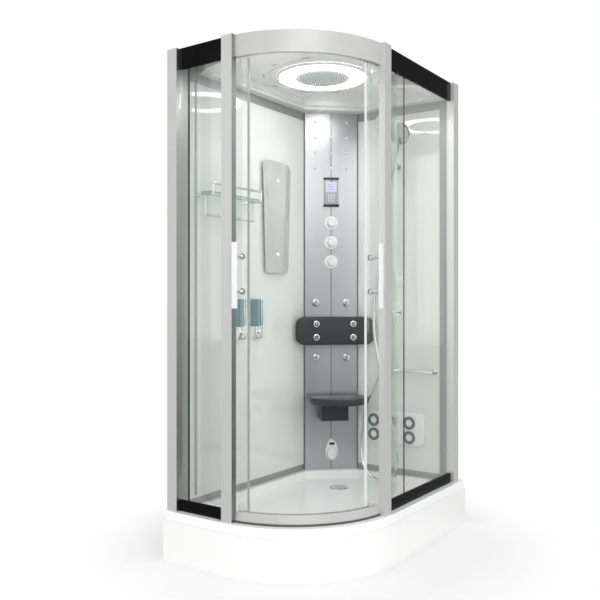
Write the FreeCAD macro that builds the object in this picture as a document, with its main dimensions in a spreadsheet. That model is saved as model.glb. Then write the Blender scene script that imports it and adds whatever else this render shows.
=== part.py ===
import FreeCAD, Part
import Sketcher
import math
import os

# Steam shower cabin, 1200 x 800 mm, on an acrylic tray with one rounded corner.
# X runs along the long side and Y along the short side. The two glass walls stand at +Y and +X,
# the column of taps and jets cuts off their corner, and the curved doors close the opposite one.
# Angles called theta turn about the centre of the rounded corner: 0 points to -X, 90 points to -Y.

Vector = FreeCAD.Vector
UP = Vector(0, 0, 1)

DIMENSIONS = {
    # tray
    "tray_length": 1200, "tray_width": 800, "tray_corner": 500, "tray_height": 200,
    "tray_underside": 150, "basin_floor": 160, "basin_front_rim": 64, "basin_wall_rim": 26,
    "skirt_height": 162, "skirt_thickness": 6.7, "seat_gap": 0.3,
    "drain_x": 270, "drain_y": 100, "drain_hole": 38, "drain_flange": 44, "flange_thickness": 3,
    "trap_wall": 3.5, "trap_depth": 98, "trap_pipe": 20, "trap_pipe_length": 170,
    "cover_radius": 41, "cover_thickness": 4, "strainer_radius": 26, "strainer_depth": 26,
    # frame and feet under the tray
    "frame_tube": 30, "frame_margin": 60, "frame_back": 70, "frame_front": 120, "frame_cross": 90,
    "foot_radius": 22, "foot_pad": 12, "foot_screw": 6, "foot_nut": 10, "foot_nut_height": 8,
    # posts, bands and curved rails
    "frame_inset": 36, "post_proud": 16, "post_depth": 27, "post_wall": 2.5,
    "outer_post_depth": 35, "outer_post_width": 52, "door_post_width": 53,
    "left_post_offset": 46, "right_post_offset": 59,
    "band_depth": 11, "band_foot": 45, "header_height": 84, "glass": 6,
    "glass_groove": 5, "strip_width": 8, "left_strip": 300, "right_strip": 54, "header_toe": 10, "header_wall": 2.5,
    "rail_height": 41, "rail_slope": 11, "rail_inner": 34, "rail_groove": 14, "groove_play": 1.5,
    # doors
    "door_inset": 24, "leaf_angle": 45, "left_lead": 12.35, "right_lead": 73.95,
    "leaf_bottom": 246, "seal_angle": 0.8, "seal_lip": 1,
    "handle_angle": 4.4, "handle_width": 24, "handle_thickness": 8, "handle_low": 1022,
    "handle_height": 253, "handle_reach": 45, "standoff_radius": 7, "stud_radius": 4,
    "standoff_low": 1087, "standoff_high": 1222, "stud_cap": 12, "stud_cap_height": 6,
    "hanger_angle": 4, "hanger_span_angle": 3.4, "hanger_plate": 4, 
    "guide_angle": 4, "guide_span_angle": 4, "guide_skin": 3, "guide_height": 20,
    # roller track under the roof
    "track_height": 36, "track_inner": 43, "track_outer": 13, "track_wall": 3,
    "track_ledge": 13, "track_lip": 7, "track_half_angle": 78,
    "roller_radius": 12, "roller_width": 8, "axle_radius": 3, "running_gap": 0.05,
    # glass walls
    "long_wall_margin": 50, "short_wall_margin": 82, "column_in_x": 95,
    "column_in_y": 105.5, "wall_depth": 46, "wall_lip": 7,
    "wall_side_strip": 40, "wall_inner_strip": 10, "wall_base_strip": 30, 
    "wall_skin": 4, "brace_height": 20, "brace_depth": 24,
    "brace_low": 800, "brace_high": 1400,
    # column
    "column_turn": -47.9, "column_width": 265.5,
    "column_plate": 3, "column_return": 18, "column_seam": 1, 
    "upright": 30, "upright_gap": 20, "crossbar": 20,
    "nozzle_pitch": 78, "nozzle_spread": 79, "nozzle_radius": 6.5,
    "nozzle_reach": 5, "jet_radius": 21, "jet_reach": 16, "jet_spread": 78,
    "jet_high": 1043, "jet_low": 768,
    "panel_width": 79, "panel_height": 146, "panel_depth": 12, "panel_centre": 1601,
    "panel_bar": 11, "panel_corner": 4, "screen_width": 48, "screen_height": 45,
    "screen_rise": 26, "key_size": 7, "key_pitch": 13, "key_height": 1.5,
    "knob_top": 1445, "knob_pitch": 98.5, "ring_radius": 34, "ring_height": 7,
    "knob_radius": 20, "knob_reach": 30, "spindle_radius": 8, "ring_bore": 12,
    "valve_width": 56, "valve_depth": 44, "valve_margin": 30, "valve_back": 20,
    "pad_width": 390, "pad_height": 138, "pad_thickness": 32, "pad_stand": 60, "pad_low": 834,
    "pad_corner": 40, "pad_shift": 8, "pad_block": 180, "pad_jet_radius": 22,
    "pad_jet_reach": 6, "pad_jet_x": 92, "pad_jet_low": 37, "pad_jet_high": 103,
    "seat_width": 278, "seat_shift": 21, "seat_top": 582, "seat_thickness": 33, "seat_front": 240,
    "seat_round": 152, "seat_pivot": 50, "seat_tongue": 90, "seat_rear": 66, "seat_ear": 20,
    "seat_knuckle": 14, "tongue_thickness": 20, "pin_radius": 5, "block_width": 134,
    "block_bottom": 463, "block_reach": 120, "outlet_width": 65, "outlet_height": 106,
    "outlet_depth": 30, "outlet_centre": 302, "outlet_corner": 31, "window_height": 14,
    "generator_width": 170, "generator_depth": 78, "generator_height": 300, "generator_low": 240,
    # long wall fittings
    "mirror_left": -22, "mirror_top_width": 216, "mirror_taper": 21, "mirror_height": 528,
    "mirror_low": 1183, "mirror_glass": 6, "mirror_stand": 14, "mirror_clip": 10,
    "shelf_left": -462, "shelf_right": -114, "shelf_level": 1498, "shelf_depth": 76,
    "shelf_corner": 28, "elbow_swell": 0.6, "shelf_arm_inset": 14, "towel_stand_off": 42,
    "shelf_glass": 8, "rail_radius": 5, "guard_rise": 40, "towel_drop": 88, "rosette": 15,
    "soap_low": 880, "soap_height": 180, "soap_depth": 34, "soap_base": 58, "soap_gap": 20,
    "soap_left": -218, "soap_first_width": 48, "soap_second_left": -96, "soap_second_width": 48,
    "soap_button": 11, "soap_travel": 6, "soap_button_level": 30,
    # short wall fittings
    "slide_y": -98, "slide_stand": 60, "slide_low": 1160, "slide_radius": 11,
    "slide_bend": 40, "holder_height": 50, "holder_radius": 20,
    "socket_stand": 34, "socket_radius": 19, "handset_grip": 13,
    "tail_reach": 2, "tail_side": 18, "neck_reach": 12, "neck_side": 36,
    "head_reach": 10, "head_side": 20, "head_rise": 60,
    "head_radius": 58, "head_thickness": 24,
    "hose_diameter": 14, "hose_near": 50, "hose_far": 100, "hose_end": 74, "elbow_radius": 9, "elbow_level": 1000, "elbow_y": -86,
    "towel_low": 715, "towel_stand": 60, "towel_from": -300, "towel_to": -75, "towel_radius": 9,
    "foot_left": 76, "foot_right": -232, "foot_low": 350, "foot_height": 160, "foot_depth": 28,
    "foot_corner": 26, "foot_jet_radius": 28.5, "foot_jet_reach": 5, "foot_jet_high": 111,
    "foot_jet_low": 41, "foot_jet_left": 36, "foot_jet_right": -158,
    "speaker_y": 5, "speaker_radius": 40, "speaker_depth": 12,
    # roof
    "ceiling_thickness": 40, "ceiling_skin": 5, "ceiling_end": 126, "track_play": 3,
    "ceiling_step": 46, "ceiling_step_rise": 14, "ceiling_well": 24, 
    "roof_inset": 48, "roof_rim": 8, "roof_skin": 3, "roof_wall": 4, "roof_box_length": 400,
    "roof_box_width": 276, "cabin_height": 2150, "housing_height": 84,
    "header_drop": 76, "ceiling_drop": 66, "wall_head_drop": 106, "leaf_drop": 7, "hanger_hold": 28, "pipe_drop": 13,
    "nozzle_drop": 45, "speaker_drop": 63, "slide_drop": 120, "holder_drop": 212, "tail_drop": 68,
    "handset_length": 190, "light_x": -30, "light_y": 0,
    "light_radius": 190, "light_hole": 124, "light_thickness": 8, "rain_radius": 120,
    "rain_thickness": 14, "pipe_radius": 8, "vent_side": 159, "vent_front": 246,
    "vent_radius": 50, "vent_height": 12, "vent_lip": 6,
}

DERIVED = {
    "roof_base": "size.cabin_height - size.housing_height",
    "post_top": "roof_base + size.roof_rim",
    "header_base": "roof_base - size.header_drop",
    "ceiling_low": "roof_base - size.ceiling_drop",
    "column_top": "ceiling_low",
    "track_base": "roof_base - size.track_height",
    "leaf_top": "header_base - size.leaf_drop",
    "hanger_low": "leaf_top - size.hanger_hold",
    "wall_head": "roof_base - size.wall_head_drop",
    "pipe_level": "roof_base - size.pipe_drop",
    "nozzle_top": "ceiling_low - size.nozzle_drop",
    "speaker_level": "ceiling_low - size.speaker_drop",
    "slide_high": "ceiling_low - size.slide_drop",
    "holder_low": "slide_high - size.holder_drop",
    "handset_tail": "holder_low - size.tail_drop",
    "handset_neck": "handset_tail + size.handset_length",
    "long_wall_face": "size.tray_width / 2 - size.long_wall_margin",
    "short_wall_face": "size.tray_length / 2 - size.short_wall_margin",
    "column_x": "short_wall_face - size.column_in_x",
    "column_y": "long_wall_face - size.column_in_y",
    "arc_x": "-size.tray_length / 2 + size.tray_corner",
    "arc_y": "-size.tray_width / 2 + size.tray_corner",
    "arc_radius": "size.tray_corner - size.frame_inset",
    "left_jamb": "arc_y - size.left_post_offset",
    "right_jamb": "arc_x - size.right_post_offset",
    "left_band": "-size.tray_length / 2 + size.frame_inset",
    "front_band": "-size.tray_width / 2 + size.frame_inset",
    "rim_step": "size.skirt_thickness + size.seat_gap",
    "door_radius": "size.tray_corner - size.frame_inset - size.door_inset",
    "door_face": "size.tray_corner - size.frame_inset - size.door_inset + size.glass",
    "left_tail": "size.left_lead - size.leaf_angle",
    "right_tail": "size.right_lead + size.leaf_angle",
    "left_handle": "size.left_lead - size.handle_angle",
    "right_handle": "size.right_lead + size.handle_angle",
    "track_in": "size.tray_corner - size.frame_inset - size.track_inner",
    "track_out": "size.tray_corner - size.frame_inset - size.track_outer",
    "axle_level": "track_base + size.track_wall + size.roller_radius + size.seat_gap",
    "long_wall_back": "long_wall_face + size.wall_depth",
    "short_wall_back": "short_wall_face + size.wall_depth",
    "seat_bottom": "size.seat_top - size.seat_thickness",
    "seat_axis": "size.seat_top - size.seat_thickness / 2",
    "outer_post_in": "-size.tray_length / 2 + size.frame_inset - size.post_proud + size.outer_post_depth",
    "outer_post_front": "-size.tray_width / 2 + size.frame_inset - size.post_proud",
    "column_left_x": "column_x - size.column_width / 2 * cos(size.column_turn)",
    "column_left_y": "column_y - size.column_width / 2 * sin(size.column_turn)",
    "column_right_x": "column_x + size.column_width / 2 * cos(size.column_turn)",
    "column_right_y": "column_y + size.column_width / 2 * sin(size.column_turn)",
    "long_wall_end": "column_left_x - (long_wall_face - column_left_y) * tan(size.column_turn) - 2 * size.seat_gap",
    "short_wall_end": "column_right_y - (short_wall_face - column_right_x) / tan(size.column_turn)"
                      " - 2 * size.seat_gap",
    "slide_x": "short_wall_face - size.slide_stand",
    "vent_x": "short_wall_face - size.vent_side",
    "vent_y": "size.vent_front - size.tray_width / 2",
    "front_wall_end": "front_band - size.post_proud + size.outer_post_depth",
    "ceiling_front": "-front_wall_end - size.seat_gap",
    "ceiling_radius": "track_in - size.track_play",
}

doc = FreeCAD.newDocument("steam_shower_cabin")
parts = []


def fill_sheet(name, cells):
    """A sheet with a word in column A and its number or formula, under that alias, in column B."""
    sheet = doc.addObject("Spreadsheet::Sheet", name)
    for row, (alias, content) in enumerate(cells.items(), start=1):
        sheet.set(f"A{row}", alias)
        sheet.set(f"B{row}", str(content))
        sheet.setAlias(f"B{row}", alias)
    doc.recompute()
    return sheet


size = fill_sheet("size", DIMENSIONS)
place = fill_sheet("place", {alias: "=" + formula for alias, formula in DERIVED.items()})


def value(formula):
    """The number that a formula of the sheets gives now."""
    result = size.evalExpression(formula)
    return float(getattr(result, "Value", result))


# ---- placing ----

def locate(item, x="0", y="0", z="0", turn=None):
    """Binds an object's position to formulas, and its turn about the vertical if it has one."""
    for letter, formula in zip("xyz", (x, y, z)):
        item.setExpression("Placement.Base." + letter, formula)
    if turn is not None:
        placement = item.Placement
        placement.Rotation = FreeCAD.Rotation(UP, 10)
        item.Placement = placement
        item.setExpression("Placement.Rotation.Angle", turn)
    return item


def on_column(item):
    """Local X runs along the column's face, local Y into the corner and Z up."""
    return locate(item, "place.column_x", "place.column_y", "0", "size.column_turn")


def on_arc(item, theta):
    """Local X points from the centre of the rounded corner outwards, at the angle theta."""
    return locate(item, "place.arc_x", "place.arc_y", "0", f"180 + {theta}")


# ---- primitives ----

def box(name, x, y, z, length, width, height):
    solid = doc.addObject("Part::Box", name)
    for prop, formula in (("Length", length), ("Width", width), ("Height", height)):
        solid.setExpression(prop, formula)
    return locate(solid, x, y, z)


def span_box(name, x, y, z):
    """A box from its (low, high) formulas on each axis."""
    lengths = [f"({high}) - ({low})" for low, high in (x, y, z)]
    return box(name, x[0], y[0], z[0], *lengths)


def rod(name, radius, length, x, y, z, along="z"):
    """A cylinder that starts at x, y, z and runs along a local axis: z, x, y or -y."""
    solid = doc.addObject("Part::Cylinder", name)
    solid.setExpression("Radius", radius)
    solid.setExpression("Height", length)
    turns = {"z": (UP, 0), "x": (Vector(0, 1, 0), 90), "y": (Vector(1, 0, 0), -90), "-y": (Vector(1, 0, 0), 90)}
    solid.Placement = FreeCAD.Placement(Vector(), FreeCAD.Rotation(*turns[along]))
    return locate(solid, x, y, z)


def ball(name, radius, x, y, z):
    solid = doc.addObject("Part::Sphere", name)
    solid.setExpression("Radius", radius)
    return locate(solid, x, y, z)


def cone(name, radius, top_radius, length, x, y, z, along="z"):
    solid = doc.addObject("Part::Cone", name)
    for prop, formula in (("Radius1", radius), ("Radius2", top_radius), ("Height", length)):
        solid.setExpression(prop, formula)
    if along == "-y":
        solid.Placement = FreeCAD.Placement(Vector(), FreeCAD.Rotation(Vector(1, 0, 0), 90))
    return locate(solid, x, y, z)


def fuse(name, items):
    solid = doc.addObject("Part::MultiFuse", name)
    solid.Shapes = items
    return solid


def cut(name, base, tool):
    solid = doc.addObject("Part::Cut", name)
    solid.Base = base
    solid.Tool = tool
    return solid


def common(name, base, tool):
    solid = doc.addObject("Part::Common", name)
    solid.Base = base
    solid.Tool = tool
    return solid


def group(name, items):
    """Separate solids that share a node."""
    solid = doc.addObject("Part::Compound", name)
    solid.Links = items
    return solid


def node(item, label):
    """Names a finished sub-part."""
    item.Label = label
    parts.append(item)
    return item


# ---- sketches and bodies ----

def new_sketch(body, name, role):
    sketch = body.newObject("Sketcher::SketchObject", name)
    plane = next(f for f in body.Origin.OriginFeatures if f.Role == role)
    sketch.AttachmentSupport = (plane, [""])
    sketch.MapMode = "FlatFace"
    return sketch


def pin_point(sketch, element, which, x, y):
    """Holds one end of a sketch line at formulas measured from the sketch's origin."""
    for kind, formula in (("DistanceX", x), ("DistanceY", y)):
        constraint = Sketcher.Constraint(kind, -1, 1, element, which, value(formula))
        index = sketch.addConstraint(constraint)
        sketch.setExpression(f"Constraints[{index}]", formula)


def draw_polygon(sketch, corners):
    """A closed outline through (x, y) formulas."""
    first = sketch.GeometryCount
    points = [Vector(value(x), value(y), 0) for x, y in corners]
    for start, end in zip(points, points[1:] + points[:1]):
        sketch.addGeometry(Part.LineSegment(start, end), False)
    count = len(corners)
    for i in range(count):
        sketch.addConstraint(Sketcher.Constraint("Coincident", first + i, 2, first + (i + 1) % count, 1))
    for i, (x, y) in enumerate(corners):
        pin_point(sketch, first + i, 1, x, y)


def draw_arc_outline(sketch, corners, centre, middle, held=0):
    """A closed outline whose last corner goes back to the first by an arc about centre, through middle.
    The arc's centre is held at its x formula, or at its y formula where held is 1."""
    points = [Vector(value(x), value(y), 0) for x, y in corners]
    for start, end in zip(points, points[1:]):
        sketch.addGeometry(Part.LineSegment(start, end), False)
    through = Vector(value(middle[0]), value(middle[1]), 0)
    arc = sketch.addGeometry(Part.Arc(points[-1], through, points[0]), False)
    ends = (1, 2) if sketch.Geometry[arc].StartPoint.distanceToPoint(points[-1]) < 1e-6 else (2, 1)
    for i in range(arc - 1):
        sketch.addConstraint(Sketcher.Constraint("Coincident", i, 2, i + 1, 1))
    sketch.addConstraint(Sketcher.Constraint("Coincident", arc - 1, 2, arc, ends[0]))
    sketch.addConstraint(Sketcher.Constraint("Coincident", arc, ends[1], 0, 1))
    for i, (x, y) in enumerate(corners[:-1]):
        pin_point(sketch, i, 1, x, y)
    pin_point(sketch, arc - 1, 2, *corners[-1])
    kind = ("DistanceX", "DistanceY")[held]
    index = sketch.addConstraint(Sketcher.Constraint(kind, -1, 1, arc, 3, value(centre[held])))
    sketch.setExpression(f"Constraints[{index}]", centre[held])


def rounded_corners(half_width, half_height, corner):
    """The straight sides of a centred rectangle with round corners, as (start, end) formulas."""
    x, y, r = f"({half_width})", f"({half_height})", f"({corner})"
    return [
        ((f"-{x} + {r}", f"-{y}"), (f"{x} - {r}", f"-{y}")),
        ((x, f"-{y} + {r}"), (x, f"{y} - {r}")),
        ((f"{x} - {r}", y), (f"-{x} + {r}", y)),
        ((f"-{x}", f"{y} - {r}"), (f"-{x}", f"-{y} + {r}")),
    ]


def draw_rounded_rectangle(sketch, half_width, half_height, corner):
    sides = rounded_corners(half_width, half_height, corner)
    at = lambda point: Vector(value(point[0]), value(point[1]), 0)
    for start, end in sides:
        sketch.addGeometry(Part.LineSegment(at(start), at(end)), False)
    radius = value(corner)
    quarter = math.pi / 2
    for i in range(4):
        start, end = at(sides[i][1]), at(sides[(i + 1) % 4][0])
        outward = (i - 1) * quarter
        centre = start - Vector(math.cos(outward), math.sin(outward), 0) * radius
        circle = Part.Circle(centre, UP, radius)
        sketch.addGeometry(Part.ArcOfCircle(circle, outward, outward + quarter), False)
    for i in range(4):
        sketch.addConstraint(Sketcher.Constraint("Tangent", i, 2, 4 + i, 1))
        sketch.addConstraint(Sketcher.Constraint("Tangent", 4 + i, 2, (i + 1) % 4, 1))
    for i in (0, 2):
        pin_point(sketch, i, 1, *sides[i][0])
        pin_point(sketch, i, 2, *sides[i][1])
    for i in (1, 3):
        index = sketch.addConstraint(Sketcher.Constraint("DistanceX", -1, 1, i, 1, value(sides[i][0][0])))
        sketch.setExpression(f"Constraints[{index}]", sides[i][0][0])


def new_body(name):
    return doc.addObject("PartDesign::Body", name)


def pad(body, sketch, length, name=None):
    feature = body.newObject("PartDesign::Pad", name or body.Name + "_pad")
    feature.Profile = sketch
    feature.setExpression("Length", length)
    sketch.Visibility = False
    return feature


def pocket(body, sketch, depth, upwards=False):
    """Cuts down from the sketch plane, or up where the cut starts at an underside."""
    feature = body.newObject("PartDesign::Pocket", sketch.Name + "_pocket")
    feature.Profile = sketch
    feature.setExpression("Length", depth)
    feature.Reversed = upwards
    sketch.Visibility = False
    return feature


def raise_sketch(sketch, height):
    """Lifts a sketch off its plane."""
    sketch.setExpression("AttachmentOffset.Base.z", height)


def swept_profile(name, outlines, theta, sweep):
    """A (radius, height) section turned about the centre of the rounded corner, from theta."""
    body = new_body(name)
    sketch = new_sketch(body, name + "_profile", "XZ_Plane")
    for outline in outlines:
        draw_polygon(sketch, outline)
    feature = body.newObject("PartDesign::Revolution", name + "_sweep")
    feature.Profile = sketch
    feature.ReferenceAxis = (sketch, ["V_Axis"])
    feature.setExpression("Angle", sweep)
    sketch.Visibility = False
    return on_arc(body, theta)


def section(inner, outer, low, high):
    """A rectangular (radius, height) outline."""
    return [(inner, low), (outer, low), (outer, high), (inner, high)]


def rounded_plate(name, width, height, corner, depth):
    """A plate with round corners, centred on its back face, that stands out along local -Y."""
    body = new_body(name)
    sketch = new_sketch(body, name + "_outline", "XZ_Plane")
    draw_rounded_rectangle(sketch, f"({width}) / 2", f"({height}) / 2", corner)
    pad(body, sketch, depth)
    return body


# ---- pipes ----

def rounded_path(points, share=None, bend=None):
    """Straight runs joined by tangent arcs. An arc takes share of its shorter run, or has the radius bend."""
    edges, radii = [], []
    start = points[0]
    for before, corner, after in zip(points, points[1:], points[2:]):
        incoming, outgoing = corner - before, after - corner
        half_turn = incoming.getAngle(outgoing) / 2
        shorter = min(incoming.Length, outgoing.Length)
        setback = share * shorter if share else bend * math.tan(half_turn)
        radii.append(setback / math.tan(half_turn))
        first = corner - incoming.normalize() * setback
        last = corner + outgoing.normalize() * setback
        towards = (first + last) / 2 - corner
        depth = radii[-1] / math.cos(half_turn) - radii[-1]
        middle = corner + towards.normalize() * depth
        edges.append(Part.LineSegment(start, first).toShape())
        edges.append(Part.Arc(first, middle, last).toShape())
        start = last
    edges.append(Part.LineSegment(start, points[-1]).toShape())
    return Part.Wire(edges), radii


def tube(path, radius):
    start = path.Edges[0]
    direction = start.tangentAt(start.FirstParameter)
    circle = Part.Wire(Part.Circle(start.valueAt(start.FirstParameter), direction, radius).toShape())
    return path.makePipeShell([circle], True, False)


def shape_feature(name, shape):
    feature = doc.addObject("Part::Feature", name)
    feature.Shape = shape
    return feature


def straight(start, end, radius, end_radius=None):
    """A round bar, tapered where it has an end radius."""
    axis = end - start
    if end_radius is None:
        return Part.makeCylinder(radius, axis.Length, start, axis)
    return Part.makeCone(radius, end_radius, axis.Length, start, axis)


# ---- tray ----

def tray_outline(sketch, inset, back=None, right=None):
    """The footprint, drawn inset from the tray's edge on the two front sides."""
    left, front = f"-size.tray_length / 2 + {inset}", f"-size.tray_width / 2 + {inset}"
    right = right or f"size.tray_length / 2 - {inset}"
    back = back or f"size.tray_width / 2 - {inset}"
    radius = f"(size.tray_corner - ({inset}))"
    corners = [("place.arc_x", front), (right, front), (right, back), (left, back), (left, "place.arc_y")]
    middle = (f"place.arc_x - {radius} * cos(45)", f"place.arc_y - {radius} * sin(45)")
    draw_arc_outline(sketch, corners, ("place.arc_x", "place.arc_y"), middle)


def make_tray():
    body = new_body("tray_body")
    outline = new_sketch(body, "tray_outline", "XY_Plane")
    tray_outline(outline, "place.rim_step")
    raise_sketch(outline, "size.tray_underside")
    pad(body, outline, "size.tray_height - size.tray_underside")
    basin = new_sketch(body, "basin_outline", "XY_Plane")
    inset = "size.basin_front_rim"
    left, front = f"-size.tray_length / 2 + {inset}", f"-size.tray_width / 2 + {inset}"
    right, back = "place.short_wall_face - size.basin_wall_rim", "place.long_wall_face - size.basin_wall_rim"
    radius = f"(size.tray_corner - {inset})"
    corner_x = "place.column_left_x - size.basin_wall_rim"
    corner_y = "place.column_right_y - size.basin_wall_rim"
    corners = [("place.arc_x", front), (right, front), (right, corner_y), (corner_x, back), (left, back),
               (left, "place.arc_y")]
    middle = (f"place.arc_x - {radius} * cos(45)", f"place.arc_y - {radius} * sin(45)")
    draw_arc_outline(basin, corners, ("place.arc_x", "place.arc_y"), middle)
    raise_sketch(basin, "size.tray_height")
    pocket(body, basin, "size.tray_height - size.basin_floor")
    doc.recompute()
    hole = rod("tray_drain_hole", "size.drain_hole", "size.tray_height", "size.drain_x", "size.drain_y", "0")
    node(cut("tray_cut", body, hole), "tray")


def make_skirt():
    body = new_body("skirt_body")
    outer = new_sketch(body, "skirt_outline", "XY_Plane")
    tray_outline(outer, "0")
    pad(body, outer, "size.skirt_height")
    inner = new_sketch(body, "skirt_inner", "XY_Plane")
    past = "size.skirt_thickness"
    tray_outline(inner, past, f"size.tray_width / 2 + {past}", f"size.tray_length / 2 + {past}")
    raise_sketch(inner, "size.skirt_height")
    pocket(body, inner, "size.skirt_height")
    node(body, "tray_skirt")


def make_frame_and_feet():
    """Welded tubes under the tray, and a screw foot under each crossing."""
    tube_size, low = "size.frame_tube", "size.tray_underside - size.frame_tube"
    level = ("size.tray_underside - size.frame_tube", "size.tray_underside")
    left, right = "-size.tray_length / 2 + size.frame_margin", "size.tray_length / 2 - size.frame_margin"
    rows = {
        "back": ("size.tray_width / 2 - size.frame_back", left),
        "middle": ("place.arc_y - size.frame_front", left),
        "front": ("-size.tray_width / 2 + size.frame_front", "place.arc_x - 2 * size.frame_front"),
    }
    bars = []
    for name, (centre, start) in rows.items():
        across = (f"{centre} - {tube_size} / 2", f"{centre} + {tube_size} / 2")
        bars.append(span_box(f"frame_{name}_bar", (start, right), across, level))
    columns = {
        "left": ("-size.tray_length / 2 + size.frame_cross", rows["middle"][0]),
        "second": ("place.arc_x - 1.5 * size.frame_front", rows["front"][0]),
        "third": ("place.arc_x + 1.2 * size.frame_front", rows["front"][0]),
        "right": ("size.tray_length / 2 - size.frame_cross", rows["front"][0]),
    }
    for name, (centre, start) in columns.items():
        across = (f"{centre} - {tube_size} / 2", f"{centre} + {tube_size} / 2")
        bars.append(span_box(f"frame_{name}_cross", across, (start, rows["back"][0]), level))
    frame = fuse("tray_frame", bars)
    spots = [(x, y) for x, start in columns.values() for y in (start, rows["back"][0])]
    spots += [(columns["second"][0], rows["middle"][0]), (columns["right"][0], rows["middle"][0])]
    feet = []
    for i, (x, y) in enumerate(spots, start=1):
        disc = rod(f"foot_pad_{i}", "size.foot_radius", "size.foot_pad", x, y, "0")
        screw = rod(f"foot_screw_{i}", "size.foot_screw", f"{low} - size.foot_pad", x, y, "size.foot_pad")
        nut = rod(f"foot_nut_{i}", "size.foot_nut", "size.foot_nut_height", x, y, f"{low} - size.foot_nut_height")
        feet.append(fuse(f"foot_{i}", [disc, screw, nut]))
    node(group("feet", feet), "tray_feet")
    return frame


def make_drain():
    x, y = "size.drain_x", "size.drain_y"
    floor = "size.basin_floor"
    low = "size.basin_floor - size.trap_depth"
    neck = "size.drain_hole - size.seat_gap"
    hollow = f"{neck} - size.trap_wall"
    cup = rod("trap_cup", neck, "size.trap_depth", x, y, low)
    flange = rod("trap_flange", "size.drain_flange", "size.flange_thickness", x, y, floor)
    nut = rod("trap_nut", "size.drain_flange + size.trap_wall", "size.trap_pipe / 2", x, y,
              "size.tray_underside - size.trap_pipe / 2")
    collar = rod("trap_collar", "size.trap_pipe + size.trap_wall", f"{neck} + 2 * size.trap_wall", x, y,
                 f"{low} + size.trap_pipe + 2 * size.trap_wall", "y")
    pipe = rod("trap_pipe", "size.trap_pipe", f"{neck} + size.trap_pipe_length", x, y,
               f"{low} + size.trap_pipe + 2 * size.trap_wall", "y")
    shell = fuse("trap_shell", [cup, flange, nut, collar, pipe])
    inside = rod("trap_inside", hollow, "size.trap_depth", x, y, f"{low} + size.trap_wall")
    bore = rod("trap_bore", "size.trap_pipe - size.trap_wall", f"{neck} + 2 * size.trap_pipe_length", x, y,
               f"{low} + size.trap_pipe + 2 * size.trap_wall", "y")
    node(cut("trap", shell, fuse("trap_void", [inside, bore])), "drain_trap")
    seat = f"{floor} + size.flange_thickness + size.seat_gap"
    disc = rod("cover_disc", "size.cover_radius", "size.cover_thickness", x, y, seat)
    basket = rod("cover_basket", "size.strainer_radius", "size.strainer_depth", x, y,
                 f"{seat} - size.strainer_depth")
    node(fuse("cover", [disc, basket]), "drain_cover")


# ---- frame of the front ----

def make_posts():
    """Four aluminium posts: two end the walls and two flank the doors."""
    height = ("size.tray_height", "place.post_top")
    left_out = ("place.left_band - size.post_proud", "place.left_band - size.post_proud + size.post_depth")
    front_out = ("place.front_band - size.post_proud", "place.front_band - size.post_proud + size.post_depth")
    left_deep = ("place.left_band - size.post_proud", "place.outer_post_in")
    front_deep = ("place.front_band - size.post_proud", "place.front_band - size.post_proud + size.outer_post_depth")
    left_y = ("place.left_jamb", "place.left_jamb + size.door_post_width")
    right_x = ("place.right_jamb", "place.right_jamb + size.door_post_width")
    wall_y = ("place.long_wall_back - size.outer_post_width", "place.long_wall_back")
    wall_x = ("place.short_wall_back - size.outer_post_width", "place.short_wall_back")
    spans = {
        "left_outer": (left_deep, wall_y),
        "right_outer": (wall_x, front_deep),
        "left_door": (left_out, left_y),
        "right_door": (right_x, front_out),
    }
    posts = {}
    for name, (x, y) in spans.items():
        wall = "size.post_wall"
        solid = span_box(f"{name}_post_block", x, y, height)
        void = span_box(f"{name}_post_void", (f"{x[0]} + {wall}", f"{x[1]} - {wall}"),
                        (f"{y[0]} + {wall}", f"{y[1]} - {wall}"), (height[0], f"{height[1]} - {wall}"))
        posts[name] = cut(f"{name}_post", solid, void)
    node(group("post_set", list(posts.values())), "posts")


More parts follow.
